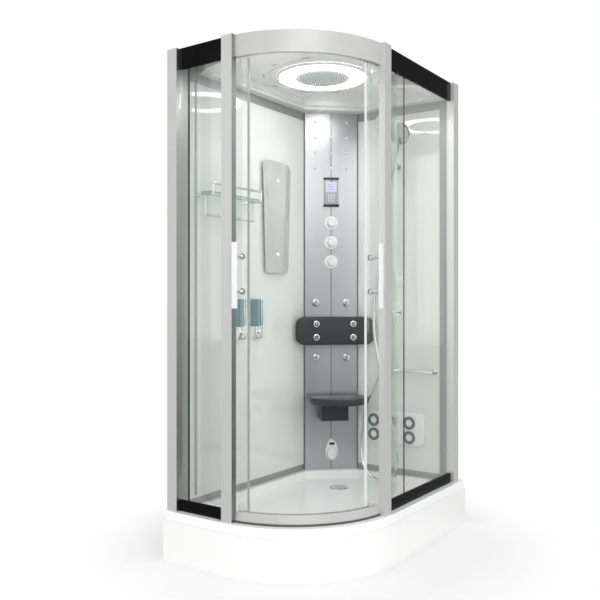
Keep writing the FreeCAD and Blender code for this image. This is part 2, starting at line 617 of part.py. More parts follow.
def make_fixed_panels():
    """The flat panes beside the doors, in dark bands, each with an upright strip that the leaf closes on."""
    near_post = "place.left_jamb + size.door_post_width"
    far_post = "place.long_wall_back - size.outer_post_width"
    near_post_x = "place.right_jamb + size.door_post_width"
    far_post_x = "place.short_wall_back - size.outer_post_width"
    levels = {
        "foot": ("size.tray_height", "size.tray_height + size.band_foot"),
        "head": ("place.header_base", "place.header_base + size.header_height"),
    }
    gap = "size.seat_gap"
    middle = "(size.band_depth - size.glass) / 2"
    pane_z = ("size.tray_height + size.band_foot - size.glass_groove", "place.header_base + size.glass_groove")
    left_glass = (f"place.left_band + {middle}", f"place.left_band + {middle} + size.glass")
    front_glass = (f"place.front_band + {middle}", f"place.front_band + {middle} + size.glass")
    sides = {
        "left": (("place.left_band", "place.left_band + size.band_depth"), (near_post, far_post),
                 left_glass, (f"{near_post} + {gap}", f"{far_post} - {gap}")),
        "right": ((near_post_x, far_post_x), ("place.front_band", "place.front_band + size.band_depth"),
                  (f"{near_post_x} + {gap}", f"{far_post_x} - {gap}"), front_glass),
    }
    bands, panes = [], []
    for side, (x, y, glass_x, glass_y) in sides.items():
        panes.append(span_box(f"{side}_pane", glass_x, glass_y, pane_z))
        wide_x = (f"{glass_x[0]} - {gap}", f"{glass_x[1]} + {gap}")
        wide_y = (f"{glass_y[0]} - {gap}", f"{glass_y[1]} + {gap}")
        groove = span_box(f"{side}_pane_groove", wide_x, wide_y, (f"{pane_z[0]} - {gap}", f"{pane_z[1]} + {gap}"))
        for name, z in levels.items():
            bands.append(cut(f"{side}_{name}_band", span_box(f"{side}_{name}_bar", x, y, z), groove))
        if side == "left":
            strip_x = (f"{glass_x[1]} + {gap}", x[1])
            strip_y = ("size.left_strip - size.strip_width / 2", "size.left_strip + size.strip_width / 2")
        else:
            strip_x = ("size.right_strip - size.strip_width / 2", "size.right_strip + size.strip_width / 2")
            strip_y = (f"{glass_y[1]} + {gap}", y[1])
        bands.append(span_box(f"{side}_strip", strip_x, strip_y, (levels["foot"][1], levels["head"][0])))
    node(group("bands", bands), "fixed_bands")
    node(group("panes", panes), "fixed_glass")


def make_curved_rails():
    """The arch over the doors and the rail under them, trimmed flush with the door posts."""
    foot = "place.arc_radius - size.header_toe"
    head = "place.arc_radius"
    low, high = "place.header_base", "place.header_base + size.header_height"
    wall = "size.header_wall"
    outer = section(foot, head, low, high)
    inner = section(f"{foot} + {wall}", f"{head} - {wall}", f"{low} + {wall}", f"{high} - {wall}")
    header = swept_profile("header", [outer, inner], "0", "90")
    base, top = "size.tray_height", "size.tray_height + size.rail_height"
    inside = "place.arc_radius - size.rail_inner"
    edge = "place.arc_radius - size.rail_slope"
    groove_in = "place.door_radius - size.groove_play"
    groove_out = "place.door_face + size.groove_play"
    floor = f"{top} - size.rail_groove"
    profile = [(inside, base), ("place.arc_radius", base), (edge, top), (groove_out, top),
               (groove_out, floor), (groove_in, floor), (groove_in, top), (inside, top)]
    rail = swept_profile("bottom_rail", [profile], "0", "90")
    opening = [("-size.tray_length / 2", "place.right_jamb"), ("-size.tray_width / 2", "place.left_jamb")]
    rails = []
    for name, body in (("header", header), ("bottom_rail", rail)):
        block = span_box(f"{name}_opening", *opening, ("0", "size.cabin_height"))
        rails.append(common(f"{name}_trimmed", body, block))
    node(group("curved_pair", rails), "curved_rails")


def make_track():
    """The channel that the door rollers run in. It goes on behind the fixed panes."""
    inner, outer, wall = "place.track_in", "place.track_out", "size.track_wall"
    low, high = "place.track_base", "place.track_base + size.track_height"
    ledge, lip = f"{inner} + size.track_ledge", f"{outer} - size.track_lip"
    profile = [(inner, low), (ledge, low), (ledge, f"{low} + {wall}"), (f"{inner} + {wall}", f"{low} + {wall}"),
               (f"{inner} + {wall}", f"{high} - {wall}"), (f"{outer} - {wall}", f"{high} - {wall}"),
               (f"{outer} - {wall}", f"{low} + {wall}"), (lip, f"{low} + {wall}"), (lip, low), (outer, low),
               (outer, high), (inner, high)]
    node(swept_profile("track", [profile], "45 - size.track_half_angle", "2 * size.track_half_angle"), "door_track")


# ---- doors ----

def door_hole(side, name, theta, level):
    """A hole through the pane for a stud, at an angle and a height."""
    radius = "size.stud_radius + size.seat_gap"
    hole = rod(f"{side}_{name}_hole", radius, "3 * size.glass", "place.door_radius - size.glass", "0", level, "x")
    return on_arc(group(f"{side}_{name}_drill", [hole]), theta)


def make_door(side):
    """One curved leaf with its seals, handle, hangers, bottom guide and two rollers."""
    # the left leaf is led by its larger angle, the right one by its smaller angle
    forward = 1 if side == "left" else -1
    lead = f"size.{side}_lead"
    tail = f"place.{side}_tail"
    handle = f"place.{side}_handle"
    inner, outer = "place.door_radius", "place.door_face"
    low, high = "size.leaf_bottom", "place.leaf_top"
    glass_start = f"{tail} + size.seal_angle" if forward > 0 else f"{lead} + size.seal_angle"
    leaf = swept_profile(f"{side}_leaf", [section(inner, outer, low, high)], glass_start,
                         "size.leaf_angle - 2 * size.seal_angle")
    holes = [door_hole(side, "low_stud", handle, "size.standoff_low"),
             door_hole(side, "high_stud", handle, "size.standoff_high")]
    node(cut(f"{side}_drilled_leaf", leaf, fuse(f"{side}_drills", holes)), f"{side}_door_glass")
    make_door_seals(side, lead if forward > 0 else tail, tail if forward > 0 else lead)
    make_door_handle(side, handle)
    spots = {"front": f"{lead} - {forward} * size.hanger_angle", "rear": f"{tail} + {forward} * size.hanger_angle"}
    hangers = [make_hanger(f"{side}_{name}", theta) for name, theta in spots.items()]
    hangers.append(make_guide(side, f"{lead} - {forward} * size.guide_angle"))
    node(group(f"{side}_hanger_group", hangers), f"{side}_door_hangers")
    for name, theta in spots.items():
        wheel = rod(f"{side}_{name}_wheel", "size.roller_radius", "size.roller_width",
                    "place.track_in + size.track_wall + (size.track_ledge - size.track_wall - size.roller_width) / 2",
                    "0", "place.axle_level", "x")
        bore = rod(f"{side}_{name}_bore", "size.axle_radius + size.running_gap", "3 * size.roller_width",
                   "place.track_in", "0", "place.axle_level", "x")
        node(on_arc(cut(f"{side}_{name}_roller_cut", wheel, bore), theta), f"{side}_{name}_roller")


def make_door_seals(side, high_theta, low_theta):
    """Soft strips on both upright edges of a leaf."""
    outline = section("place.door_radius - size.seal_lip", "place.door_face + size.seal_lip",
                      "size.leaf_bottom", "place.leaf_top")
    upper = swept_profile(f"{side}_seal_a", [outline], f"{high_theta} - size.seal_angle", "size.seal_angle")
    lower = swept_profile(f"{side}_seal_b", [outline], low_theta, "size.seal_angle")
    node(group(f"{side}_seal_pair", [upper, lower]), f"{side}_door_seals")


def make_door_handle(side, theta):
    """A flat upright bar on two studs that go through the pane to a cap inside."""
    face, inner = "place.door_face", "place.door_radius"
    bar = box(f"{side}_handle_bar", f"{face} + size.handle_reach", "-size.handle_width / 2", "size.handle_low",
              "size.handle_thickness", "size.handle_width", "size.handle_height")
    items = [bar]
    for name, level in (("low", "size.standoff_low"), ("high", "size.standoff_high")):
        items.append(rod(f"{side}_{name}_standoff", "size.standoff_radius", "size.handle_reach - size.seat_gap",
                         f"{face} + size.seat_gap", "0", level, "x"))
        start = f"{inner} - size.seat_gap - size.stud_cap_height"
        items.append(rod(f"{side}_{name}_stud", "size.stud_radius", "size.glass + size.standoff_radius", start,
                         "0", level, "x"))
        items.append(rod(f"{side}_{name}_stud_cap", "size.stud_cap", "size.stud_cap_height", start, "0", level, "x"))
    node(on_arc(fuse(f"{side}_handle_body", items), theta), f"{side}_handle")


def make_hanger(name, theta):
    """A curved plate behind the pane that rises through the track's slot, with the roller's axle."""
    outer = "place.door_radius - size.seat_gap"
    inner = f"{outer} - size.hanger_plate"
    top = "place.axle_level + 2 * size.axle_radius"
    plate = swept_profile(f"{name}_plate", [section(inner, outer, "place.hanger_low", top)],
                          f"{theta} - size.hanger_span_angle / 2", "size.hanger_span_angle")
    start = "place.track_in + size.track_wall + size.seat_gap"
    axle = rod(f"{name}_axle", "size.axle_radius", f"{outer} - size.hanger_plate / 2 - ({start})", start, "0",
               "place.axle_level", "x")
    return fuse(f"{name}_hanger", [plate, on_arc(group(f"{name}_axle_set", [axle]), theta)])


def make_guide(side, theta):
    """A clip on the pane's lower edge whose tongue runs in the bottom rail's groove."""
    gap, skin = "size.seat_gap", "size.guide_skin"
    inner, outer = "place.door_radius", "place.door_face"
    low, high = "size.leaf_bottom", "size.leaf_bottom + size.guide_height"
    rail = "size.tray_height + size.rail_height"
    tongue = f"{rail} - size.rail_groove + 2 * size.groove_play"
    profile = [(inner, tongue), (outer, tongue), (outer, f"{rail} + {gap}"), (f"{outer} + {skin} + {gap}", f"{rail} + {gap}"),
               (f"{outer} + {skin} + {gap}", high), (f"{outer} + {gap}", high), (f"{outer} + {gap}", f"{low} - {gap}"),
               (f"{inner} - {gap}", f"{low} - {gap}"), (f"{inner} - {gap}", high), (f"{inner} - {skin} - {gap}", high),
               (f"{inner} - {skin} - {gap}", f"{rail} + {gap}"), (inner, f"{rail} + {gap}")]
    return swept_profile(f"{side}_guide", [profile], f"{theta} - size.guide_span_angle / 2", "size.guide_span_angle")


# ---- glass walls ----

def make_walls():
    """Two shallow aluminium frames, open behind, with a glass panel in each."""
    z = ("size.tray_height", "place.roof_base")
    base, head = "size.tray_height + size.wall_base_strip", "place.wall_head"
    front, back = "place.long_wall_face", "place.long_wall_back"
    side, side_back = "place.short_wall_face", "place.short_wall_back"
    skin, lip, gap = "size.wall_skin", "size.wall_lip", "size.seat_gap"
    left, right = "place.outer_post_in", "place.long_wall_end"
    near = "place.front_wall_end"
    far = "place.short_wall_end"
    inside_z = (f"{z[0]} + {skin}", f"{z[1]} - {skin}")
    walls = {
        "long": (((left, right), (front, back), z),
                 ((f"{left} + size.wall_side_strip", f"{right} - size.wall_inner_strip"),
                  (f"{front} - {lip}", f"{front} + 2 * {lip}"), (base, head)),
                 ((f"{left} + {skin}", f"{right} - {skin}"), (f"{front} + {lip}", f"{back} + {lip}"), inside_z)),
        "short": (((side, side_back), (near, far), z),
                  ((f"{side} - {lip}", f"{side} + 2 * {lip}"),
                   (f"{near} + size.wall_side_strip", f"{far} - size.wall_inner_strip"), (base, head)),
                  ((f"{side} + {lip}", f"{side_back} + {lip}"), (f"{near} + {skin}", f"{far} - {skin}"), inside_z)),
    }
    frames, panels = [], []
    for name, (block, window, void) in walls.items():
        hollow = fuse(f"{name}_wall_hollow", [span_box(f"{name}_window", *window), span_box(f"{name}_void", *void)])
        shell = cut(f"{name}_wall_shell", span_box(f"{name}_wall_block", *block), hollow)
        deep = "size.brace_depth"
        bars = []
        for level in ("size.brace_low", "size.brace_high"):
            height = (level, f"{level} + size.brace_height")
            across = (void[0], (f"{back} - {deep}", back)) if name == "long" else ((f"{side_back} - {deep}", side_back),
                                                                                   void[1])
            bars.append(span_box(f"{name}_{level[5:]}", *across, height))
        frames.append(fuse(f"{name}_wall", [shell, *bars]))
        pane_z = (f"{base} + {gap}", f"{head} - {gap}")
        if name == "long":
            pane = ((f"{window[0][0]} + {gap}", f"{window[0][1]} - {gap}"), (front, f"{front} + size.glass"), pane_z)
        else:
            pane = ((side, f"{side} + size.glass"), (f"{window[1][0]} + {gap}", f"{window[1][1]} - {gap}"), pane_z)
        panels.append(span_box(f"{name}_wall_pane", *pane))
    node(group("wall_pair", frames), "wall_frames")
    node(group("wall_panes", panels), "wall_panels")


# ---- column ----

def knob_levels():
    return {name: f"size.knob_top - {i} * size.knob_pitch" for i, name in enumerate(("mixer", "diverter", "steam"))}


def make_column_panels():
    """Two brushed plates with a shadow gap between them and flanges turned back at the outer edges."""
    half, seam, plate = "size.column_width / 2", "size.column_seam / 2", "size.column_plate"
    z = ("size.tray_height", "place.column_top")
    deep = ("0", f"{plate} + size.column_return")
    left = fuse("left_plate_bent", [
        span_box("left_plate", (f"-{half}", f"-{seam}"), ("0", plate), z),
        span_box("left_flange", (f"-{half}", f"-{half} + {plate}"), deep, z)])
    right = fuse("right_plate_bent", [
        span_box("right_plate", (seam, half), ("0", plate), z),
        span_box("right_flange", (f"{half} - {plate}", half), deep, z)])
    holes = [rod(f"{name}_plate_hole", "size.ring_bore", f"3 * {plate}", "0", f"-{plate}", level, "y")
             for name, level in knob_levels().items()]
    holes.append(rod("steam_plate_hole", "size.pipe_radius + size.seat_gap", f"3 * {plate}", "0", f"-{plate}",
                     "size.outlet_centre", "y"))
    drilled = [cut("left_plate_drilled", left, fuse("left_plate_holes", holes)),
               cut("right_plate_drilled", right, fuse("right_plate_holes", holes))]
    node(on_column(group("plate_pair", drilled)), "column_panels")


def make_service_frame():
    """Uprights and cross bars behind the plates, for the valve and the steam generator."""
    plate, upright = "size.column_plate", "size.upright"
    start = f"{plate} + size.seat_gap"
    side = "(size.column_width / 2 - size.upright_gap)"
    z = ("size.tray_height", "place.roof_base")
    deep = (start, f"{start} + {upright}")
    bars = [span_box("left_upright", (f"-{side}", f"-{side} + {upright}"), deep, z),
            span_box("right_upright", (f"{side} - {upright}", side), deep, z)]
    back = (f"{start} + {upright} - size.crossbar", f"{start} + {upright}")
    for name, level in (("top", "place.column_top"), ("valve", "size.knob_top - 3 * size.knob_pitch"),
                        ("middle", "size.brace_low"), ("bottom", "size.tray_height")):
        bars.append(span_box(f"{name}_crossbar", (f"-{side}", side), back, (level, f"{level} + size.crossbar")))
    passage = rod("service_pipe_hole", "size.pipe_radius + size.seat_gap", "2 * size.upright",
                  "0", "size.column_plate + size.seat_gap + size.valve_depth / 2", "place.column_top - size.upright")
    node(on_column(cut("service_bars", fuse("service_bar_set", bars), passage)), "service_frame")


def make_valve():
    """The mixing and diverting valve. The three spindles turn in its bores."""
    start = "size.column_plate + size.seat_gap"
    low = "size.knob_top - 2 * size.knob_pitch - size.valve_margin"
    height = "2 * size.knob_pitch + 2 * size.valve_margin"
    block = box("valve_block", "-size.valve_width / 2", start, low, "size.valve_width", "size.valve_depth", height)
    stubs = []
    for name, level in (("hot", f"{low} + size.valve_margin / 2"), ("cold", f"{low} + {height} - size.valve_margin / 2")):
        stubs.append(rod(f"{name}_inlet", "size.knob_radius / 2", "size.valve_margin", "0",
                         f"{start} + size.valve_depth", level, "y"))
    bores = [rod(f"{name}_bore", "size.spindle_radius + size.running_gap", "size.valve_depth", "0", start, level, "y")
             for name, level in knob_levels().items()]
    node(on_column(cut("valve_bored", fuse("valve", [block, *stubs]), fuse("valve_bores", bores))), "valve_body")


def make_knobs():
    """Three rings on the plates and three knobs on spindles that turn in the valve."""
    rings = []
    for name, level in knob_levels().items():
        disc = cone(f"{name}_ring_disc", "size.ring_radius", "size.ring_radius - size.ring_height / 2",
                    "size.ring_height", "0", "-size.seat_gap / 2", level, "-y")
        hole = rod(f"{name}_ring_hole", "size.ring_bore", "3 * size.ring_height", "0", "size.ring_height", level, "-y")
        rings.append(cut(f"{name}_ring", disc, hole))
        front = "-size.ring_height - 2 * size.seat_gap"
        cap = cone(f"{name}_knob_cap", "size.knob_radius", "size.knob_radius - size.ring_height / 2",
                   "size.knob_reach", "0", front, level, "-y")
        spindle = rod(f"{name}_spindle", "size.spindle_radius",
                      "size.valve_depth + size.column_plate + size.ring_height + size.seat_gap", "0",
                      "size.valve_depth - size.seat_gap", level, "-y")
        node(on_column(fuse(f"{name}_knob_body", [cap, spindle])), f"{name}_knob")
    node(on_column(group("rings", rings)), "knob_rings")


def make_jets():
    """Twelve small nozzles at the top of the column and four round jets at waist height."""
    start = "-size.seat_gap / 2"
    items = []
    for row in range(4):
        level = f"place.nozzle_top - {row} * size.nozzle_pitch"
        for column in (-1, 0, 1):
            items.append(rod(f"nozzle_{row}_{column + 1}", "size.nozzle_radius", "size.nozzle_reach",
                             f"{column} * size.nozzle_spread", start, level, "-y"))
    for row, level in (("high", "size.jet_high"), ("low", "size.jet_low")):
        for side in (-1, 1):
            items.append(cone(f"jet_{row}_{side + 1}", "size.jet_radius", "size.jet_radius - size.jet_reach / 4",
                              "size.jet_reach", f"{side} * size.jet_spread", start, level, "-y"))
    node(on_column(group("jets", items)), "water_jets")


def make_control_panel():
    """A plate with a screen, twelve keys and a dark bar across each end."""
    body = rounded_plate("panel_plate", "size.panel_width - 2 * size.panel_corner",
                         "size.panel_height - size.panel_bar", "size.panel_corner", "size.panel_depth")
    items = [locate(body, "0", "0", "size.panel_centre")]
    for name, sign in (("top", ""), ("bottom", "-")):
        centre = f"size.panel_centre + ({sign}(size.panel_height - size.panel_bar) / 2)"
        bar = rounded_plate(f"panel_{name}_bar", "size.panel_width", "size.panel_bar", "size.panel_bar / 3",
                            "size.panel_depth + 3")
        items.append(locate(bar, "0", "0", centre))
    front = "-size.panel_depth - size.key_height"
    items.append(box("panel_screen", "-size.screen_width / 2", front,
                     "size.panel_centre + size.screen_rise - size.screen_height / 2", "size.screen_width",
                     "2 * size.key_height", "size.screen_height"))
    for row in range(4):
        for column in range(3):
            centre = f"size.panel_centre - size.panel_height / 8 - {row} * size.key_pitch / 1.3"
            items.append(box(f"key_{row}_{column}", f"{column - 1} * size.key_pitch - size.key_size / 2", front,
                             centre, "size.key_size", "2 * size.key_height", "size.key_size"))
    panel = fuse("panel", items)
    node(locate(panel_shift(panel), "place.column_x", "place.column_y", "0", "size.column_turn"), "control_panel")


def panel_shift(item):
    """Holds an item one seat gap in front of the plates, in the column's own frame."""
    shifted = group(item.Name + "_seated", [item])
    locate(item, "0", "-size.seat_gap / 2", "0")
    return shifted


def make_massage_bar():
    """The dark pad across the column, on a block, with four round jets."""
    centre = "size.pad_low + size.pad_height / 2"
    body = rounded_plate("pad_plate", "size.pad_width", "size.pad_height", "size.pad_corner", "size.pad_thickness")
    locate(body, "size.pad_shift", "-size.pad_stand", centre)
    block = box("pad_block", "-size.pad_block / 2", "-size.pad_stand - size.pad_thickness / 2",
                "size.pad_low + size.pad_jet_low / 2", "size.pad_block",
                "size.pad_stand + size.pad_thickness / 2 - size.seat_gap / 2", "size.pad_height - size.pad_jet_low")
    jets = [rod(f"pad_jet_{row}_{side + 1}", "size.pad_jet_radius", "size.pad_jet_reach + size.pad_thickness / 2",
                f"{side} * size.pad_jet_x + size.pad_shift / 2", "-size.pad_stand - size.pad_thickness / 2",
                f"size.pad_low + size.pad_jet_{row}", "-y")
            for row in ("low", "high") for side in (-1, 1)]
    node(on_column(fuse("pad", [body, block, *jets])), "massage_bar")


def make_seat():
    """A folding seat: the half-round board, the bracket it hangs on and the pin between them."""
    middle, half = "size.seat_shift", "size.seat_width / 2"
    pivot, axis_z = "size.seat_pivot", "place.seat_axis"
    bottom = "place.seat_bottom"
    body = new_body("seat_board")
    outline = new_sketch(body, "seat_outline", "XY_Plane")
    centre = "size.seat_round - size.seat_front"
    edge = f"{centre} - sqrt(size.seat_round ^ 2 - ({half}) ^ 2)"
    corners = [(f"{middle} + {half}", edge), (f"{middle} + {half}", "-size.seat_rear"),
               (f"{middle} - {half}", "-size.seat_rear"), (f"{middle} - {half}", edge)]
    draw_arc_outline(outline, corners, (middle, centre), (middle, "-size.seat_front"), held=1)
    raise_sketch(outline, bottom)
    pad(body, outline, "size.seat_thickness")
    tongue = box("seat_tongue_block", "-size.seat_tongue / 2", f"-size.seat_rear - size.seat_knuckle",
                 f"{axis_z} - size.tongue_thickness / 2", "size.seat_tongue",
                 f"size.seat_rear + size.seat_knuckle - {pivot}", "size.tongue_thickness")
    knuckle = rod("seat_knuckle_rod", "size.seat_knuckle", "size.seat_tongue", "-size.seat_tongue / 2", f"-{pivot}",
                  axis_z, "x")
    bore = rod("seat_bore", "size.pin_radius + size.running_gap", "2 * size.seat_tongue", "-size.seat_tongue",
               f"-{pivot}", axis_z, "x")
    node(on_column(cut("seat_bored", fuse("seat_whole", [body, tongue, knuckle]), bore)), "seat")
    low, reach = "size.block_bottom", "size.block_reach"
    clearance = "size.seat_gap"
    block = box("bracket_block", "-size.block_width / 2", f"-{reach}", low, "size.block_width",
                f"{reach} - size.seat_gap / 2", f"{bottom} - {clearance} - {low}")
    ears = []
    ear_z = f"{bottom} - size.seat_ear"
    for name, start in (("left", "-size.seat_tongue / 2 - size.seat_gap - size.seat_ear"),
                        ("right", "size.seat_tongue / 2 + size.seat_gap")):
        ears.append(box(f"bracket_{name}_ear", start, f"-{pivot} - size.seat_knuckle", ear_z, "size.seat_ear",
                        "2 * size.seat_knuckle", f"{axis_z} - ({ear_z})"))
        ears.append(rod(f"bracket_{name}_eye", "size.seat_knuckle", "size.seat_ear", start, f"-{pivot}", axis_z, "x"))
    pin_bore = rod("bracket_bore", "size.pin_radius", "3 * size.seat_tongue", "-1.5 * size.seat_tongue",
                   f"-{pivot}", axis_z, "x")
    # room for the knuckle, and for the board's rear edge, to swing as the seat folds up
    swing = rod("bracket_swing", "size.seat_knuckle + size.seat_gap", "size.seat_tongue + 2 * size.seat_gap",
                "-size.seat_tongue / 2 - size.seat_gap", f"-{pivot}", axis_z, "x")
    node(on_column(cut("bracket_bored", fuse("bracket", [block, *ears]), fuse("bracket_voids", [pin_bore, swing]))),
         "seat_bracket")
    span = "size.seat_tongue + 2 * (size.seat_ear + size.seat_gap)"
    node(on_column(group("pin_set", [rod("pin", "size.pin_radius", span, f"-({span}) / 2", f"-{pivot}", axis_z, "x")])),
         "seat_pin")


def make_steam_parts():
    """The steam outlet at foot height and the generator behind the column."""
    body = rounded_plate("outlet_shell", "size.outlet_width", "size.outlet_height", "size.outlet_corner",
                         "size.outlet_depth")
    locate(body, "0", "-size.seat_gap / 2", "size.outlet_centre")
    slot = box("outlet_slot", "-size.outlet_width / 5", "-size.outlet_depth - size.window_height",
               "size.outlet_centre + size.outlet_height / 2 - 2.4 * size.window_height",
               "size.outlet_width * 2 / 5", "2 * size.window_height", "size.window_height")
    node(on_column(cut("outlet", body, slot)), "steam_outlet")
    start = "size.column_plate + size.upright + 2 * size.seat_gap"
    tank = box("generator_tank", "-size.generator_width / 2", start, "size.generator_low", "size.generator_width",
               "size.generator_depth", "size.generator_height")
    pipe = rod("generator_pipe", "size.pipe_radius", f"{start} + size.generator_depth / 4", "0", "0",
               "size.outlet_centre", "y")
    node(on_column(fuse("generator", [tank, pipe])), "steam_generator")


# ---- fittings on the long wall ----

def make_mirror():
    """A tapered mirror that stands off the wall on two studs."""
    left, width, taper = "size.mirror_left", "size.mirror_top_width", "size.mirror_taper"
    low, high = "size.mirror_low", "size.mirror_low + size.mirror_height"
    body = new_body("mirror_glass_body")
    outline = new_sketch(body, "mirror_outline", "XZ_Plane")
    draw_polygon(outline, [(left, high), (f"{left} + {taper}", low), (f"{left} + {width} - {taper}", low),
                           (f"{left} + {width}", high)])
    pad(body, outline, "size.mirror_glass")
    face = "place.long_wall_face"
    locate(body, "0", f"{face} - size.mirror_stand", "0")
    centre = f"{left} + {width} / 2"
    items = [body]
    for name, level in (("high", f"{high} - {width} / 2.4"), ("low", f"{low} + {width} / 2.4")):
        items.append(rod(f"mirror_{name}_bolt", "size.mirror_clip", "size.mirror_stand + 2 * size.mirror_glass",
                         centre, face, level, "-y"))
    node(fuse("mirror_set", items), "mirror")


def make_shelf():
    """A glass shelf in a rail frame with a guard above it and a towel rail below it."""
    left, right = "size.shelf_left", "size.shelf_right"
    wall, front = "place.long_wall_face", "place.long_wall_face - size.shelf_depth"
    level, radius = "size.shelf_level", "size.rail_radius"
    pane_depth = "size.shelf_depth - size.rosette"
    pane = new_body("shelf_pane")
    outline = new_sketch(pane, "shelf_outline", "XY_Plane")
    draw_rounded_rectangle(outline, f"({right} - ({left})) / 2", f"({pane_depth}) / 2", "size.shelf_corner")
    pad(pane, outline, "size.shelf_glass")
    locate(pane, f"({left} + {right}) / 2", f"{front} + ({pane_depth}) / 2", level)
    node(group("shelf_set", [pane]), "shelf_glass")
    inset = f"{left} + size.shelf_arm_inset", f"{right} - size.shelf_arm_inset"
    under = f"{level} - {radius} - size.seat_gap"
    towel = f"{level} - size.towel_drop"
    guard = f"{level} + size.guard_rise"
    front_y = f"{front} - 2 * {radius}"
    towel_y = f"{wall} - size.towel_stand_off"
    items = []
    for name, x in zip(("left", "right"), inset):
        items.append(rod(f"shelf_{name}_arm", radius, f"{wall} - ({front_y})", x, wall, under, "-y"))
        items.append(rod(f"shelf_{name}_rosette", "size.rosette", radius, x, wall, under, "-y"))
        items.append(rod(f"guard_{name}_post", radius, f"{guard} - ({under})", x, front_y, under))
        items.append(rod(f"towel_{name}_drop", f"{radius} - size.elbow_swell", f"{under} - ({towel})", x, towel_y, towel))
    reach = f"{inset[1]} - ({inset[0]})"
    for name, y, z in (("guard", front_y, guard), ("shelf", front_y, under), ("towel", towel_y, towel)):
        items.append(rod(f"{name}_rail", radius, reach, inset[0], y, z, "x"))
        for side, x in zip(("left", "right"), inset):
            items.append(ball(f"{name}_{side}_elbow", f"{radius} + size.elbow_swell", x, y, z))
    return fuse("shelf_rails", items)


def make_soap_units():
    """Two dispensers: a housing, a reservoir below it and a push button in the underside each."""
    wall, depth = "place.long_wall_face", "size.soap_depth"
    base = "size.soap_low + size.soap_base"
    gap = "size.seat_gap"
    units = {"left": ("size.soap_left", "size.soap_first_width"),
             "right": ("size.soap_second_left", "size.soap_second_width")}
    housings, tanks = [], []
    for name, (x, width) in units.items():
        tanks.append(span_box(f"{name}_tank", (x, f"{x} + {width}"), (f"{wall} - {depth}", f"{wall} - {gap} / 2"),
                              (f"{base} + {gap}", "size.soap_low + size.soap_height")))
        centre = f"{x} + {width} / 2"
        level = "size.soap_low + size.soap_button_level"
        block = span_box(f"{name}_housing_block", (x, f"{x} + {width}"), (f"{wall} - {depth}", f"{wall} - {gap} / 2"),
                         ("size.soap_low", base))
        bore = rod(f"{name}_button_bore", "size.soap_button + size.running_gap", "2 * size.soap_gap", centre,
                   f"{wall} - {depth} + size.soap_gap", level, "-y")
        housings.append(cut(f"{name}_housing", block, bore))
        button = rod(f"{name}_button_rod", "size.soap_button", "size.soap_gap - size.soap_travel + size.soap_gap / 2",
                     centre, f"{wall} - {depth} + size.soap_gap - size.soap_travel - 2 * {gap}", level, "-y")
        node(group(f"{name}_button_set", [button]), f"{name}_soap_button")
    node(group("housings", housings), "soap_housings")
    node(group("tanks", tanks), "soap_reservoirs")


# ---- fittings on the short wall ----

def make_slide_rail():
    """A bowed rail for the hand shower, fixed to the short wall at both ends."""
    wall = value("place.short_wall_face")
    x, y = value("place.slide_x"), value("size.slide_y")
    low, high = value("size.slide_low"), value("place.slide_high")
    radius, bend = value("size.slide_radius"), value("size.slide_bend")
    path, _ = rounded_path([Vector(wall, y, low), Vector(x, y, low), Vector(x, y, high), Vector(wall, y, high)],
                           bend=bend)
    rail = tube(path, radius)
    for level in (low, high):
        thick = value("size.rail_radius")
        rail = rail.fuse(straight(Vector(wall, y, level), Vector(wall - thick, y, level), 2 * radius))
    node(shape_feature("slide_rail_shape", rail), "slide_rail")


def handset_points():
    """Tail, neck and head centre of the hand shower, with the direction that the head faces."""
    x, y = value("place.slide_x") - value("size.socket_stand"), value("size.slide_y")
    tail = Vector(x + value("size.tail_reach"), y + value("size.tail_side"), value("place.handset_tail"))
    neck = Vector(x - value("size.neck_reach"), y - value("size.neck_side"), value("place.handset_neck"))
    face = Vector(-0.87, 0.1, -0.48).normalize()
    centre = neck + Vector(-value("size.head_reach"), -value("size.head_side"), value("size.head_rise"))
    return tail, neck, centre, face


def make_hand_shower():
    tail, neck, centre, face = handset_points()
    grip, radius, thick = value("size.handset_grip"), value("size.head_radius"), value("size.head_thickness")
    handle = straight(tail, neck, grip * 0.8, grip)
    back = centre - face * thick / 2
    neck_top = back + face * thick / 3
    bend = straight(neck, neck_top, grip)
    joint = Part.makeSphere(grip, neck)
    head = straight(back, back + face * thick * 0.55, radius * 0.72, radius)
    disc = straight(back + face * thick * 0.55, back + face * thick, radius)
    shape = handle.fuse([joint, bend, head, disc]).removeSplitter()
    # the socket's cone is cut to the handle with a seat gap, so the two never share metal
    node(shape_feature("hand_shower_shape", shape), "hand_shower")


def make_holder():
    """The slider that clamps on the rail and carries the hand shower in a socket."""
    x, y = value("place.slide_x"), value("size.slide_y")
    low, tall = value("place.holder_low"), value("size.holder_height")
    radius, socket = value("size.holder_radius"), value("size.socket_radius")
    gap, play = value("size.seat_gap"), value("size.running_gap")
    tail, neck, _, _ = handset_points()
    axis = (neck - tail).normalize()
    middle = tail + axis * ((low + tall / 2 - tail.z) / axis.z)
    sleeve = Part.makeCylinder(radius, tall, Vector(x, y, low))
    cup = straight(middle - axis * tall / 3, middle + axis * tall / 3, socket)
    arm = Part.makeBox(abs(x - middle.x), radius, tall / 2, Vector(middle.x, y - radius / 2, low + tall / 4))
    knob = straight(Vector(x, y, low + tall / 2), Vector(x, y - 2 * radius, low + tall / 2), radius * 0.55)
    body = sleeve.fuse([cup, arm, knob])
    bore = Part.makeCylinder(value("size.slide_radius") + play, 3 * tall, Vector(x, y, low - tall))
    grip = value("size.handset_grip")
    at = lambda point: grip * 0.8 + grip * 0.2 * (point - tail).Length / (neck - tail).Length
    start, end = tail, neck
    hollow = straight(start, end, at(start) + gap, at(end) + gap)
    node(shape_feature("holder_shape", body.cut(bore.fuse(hollow)).removeSplitter()), "shower_holder")


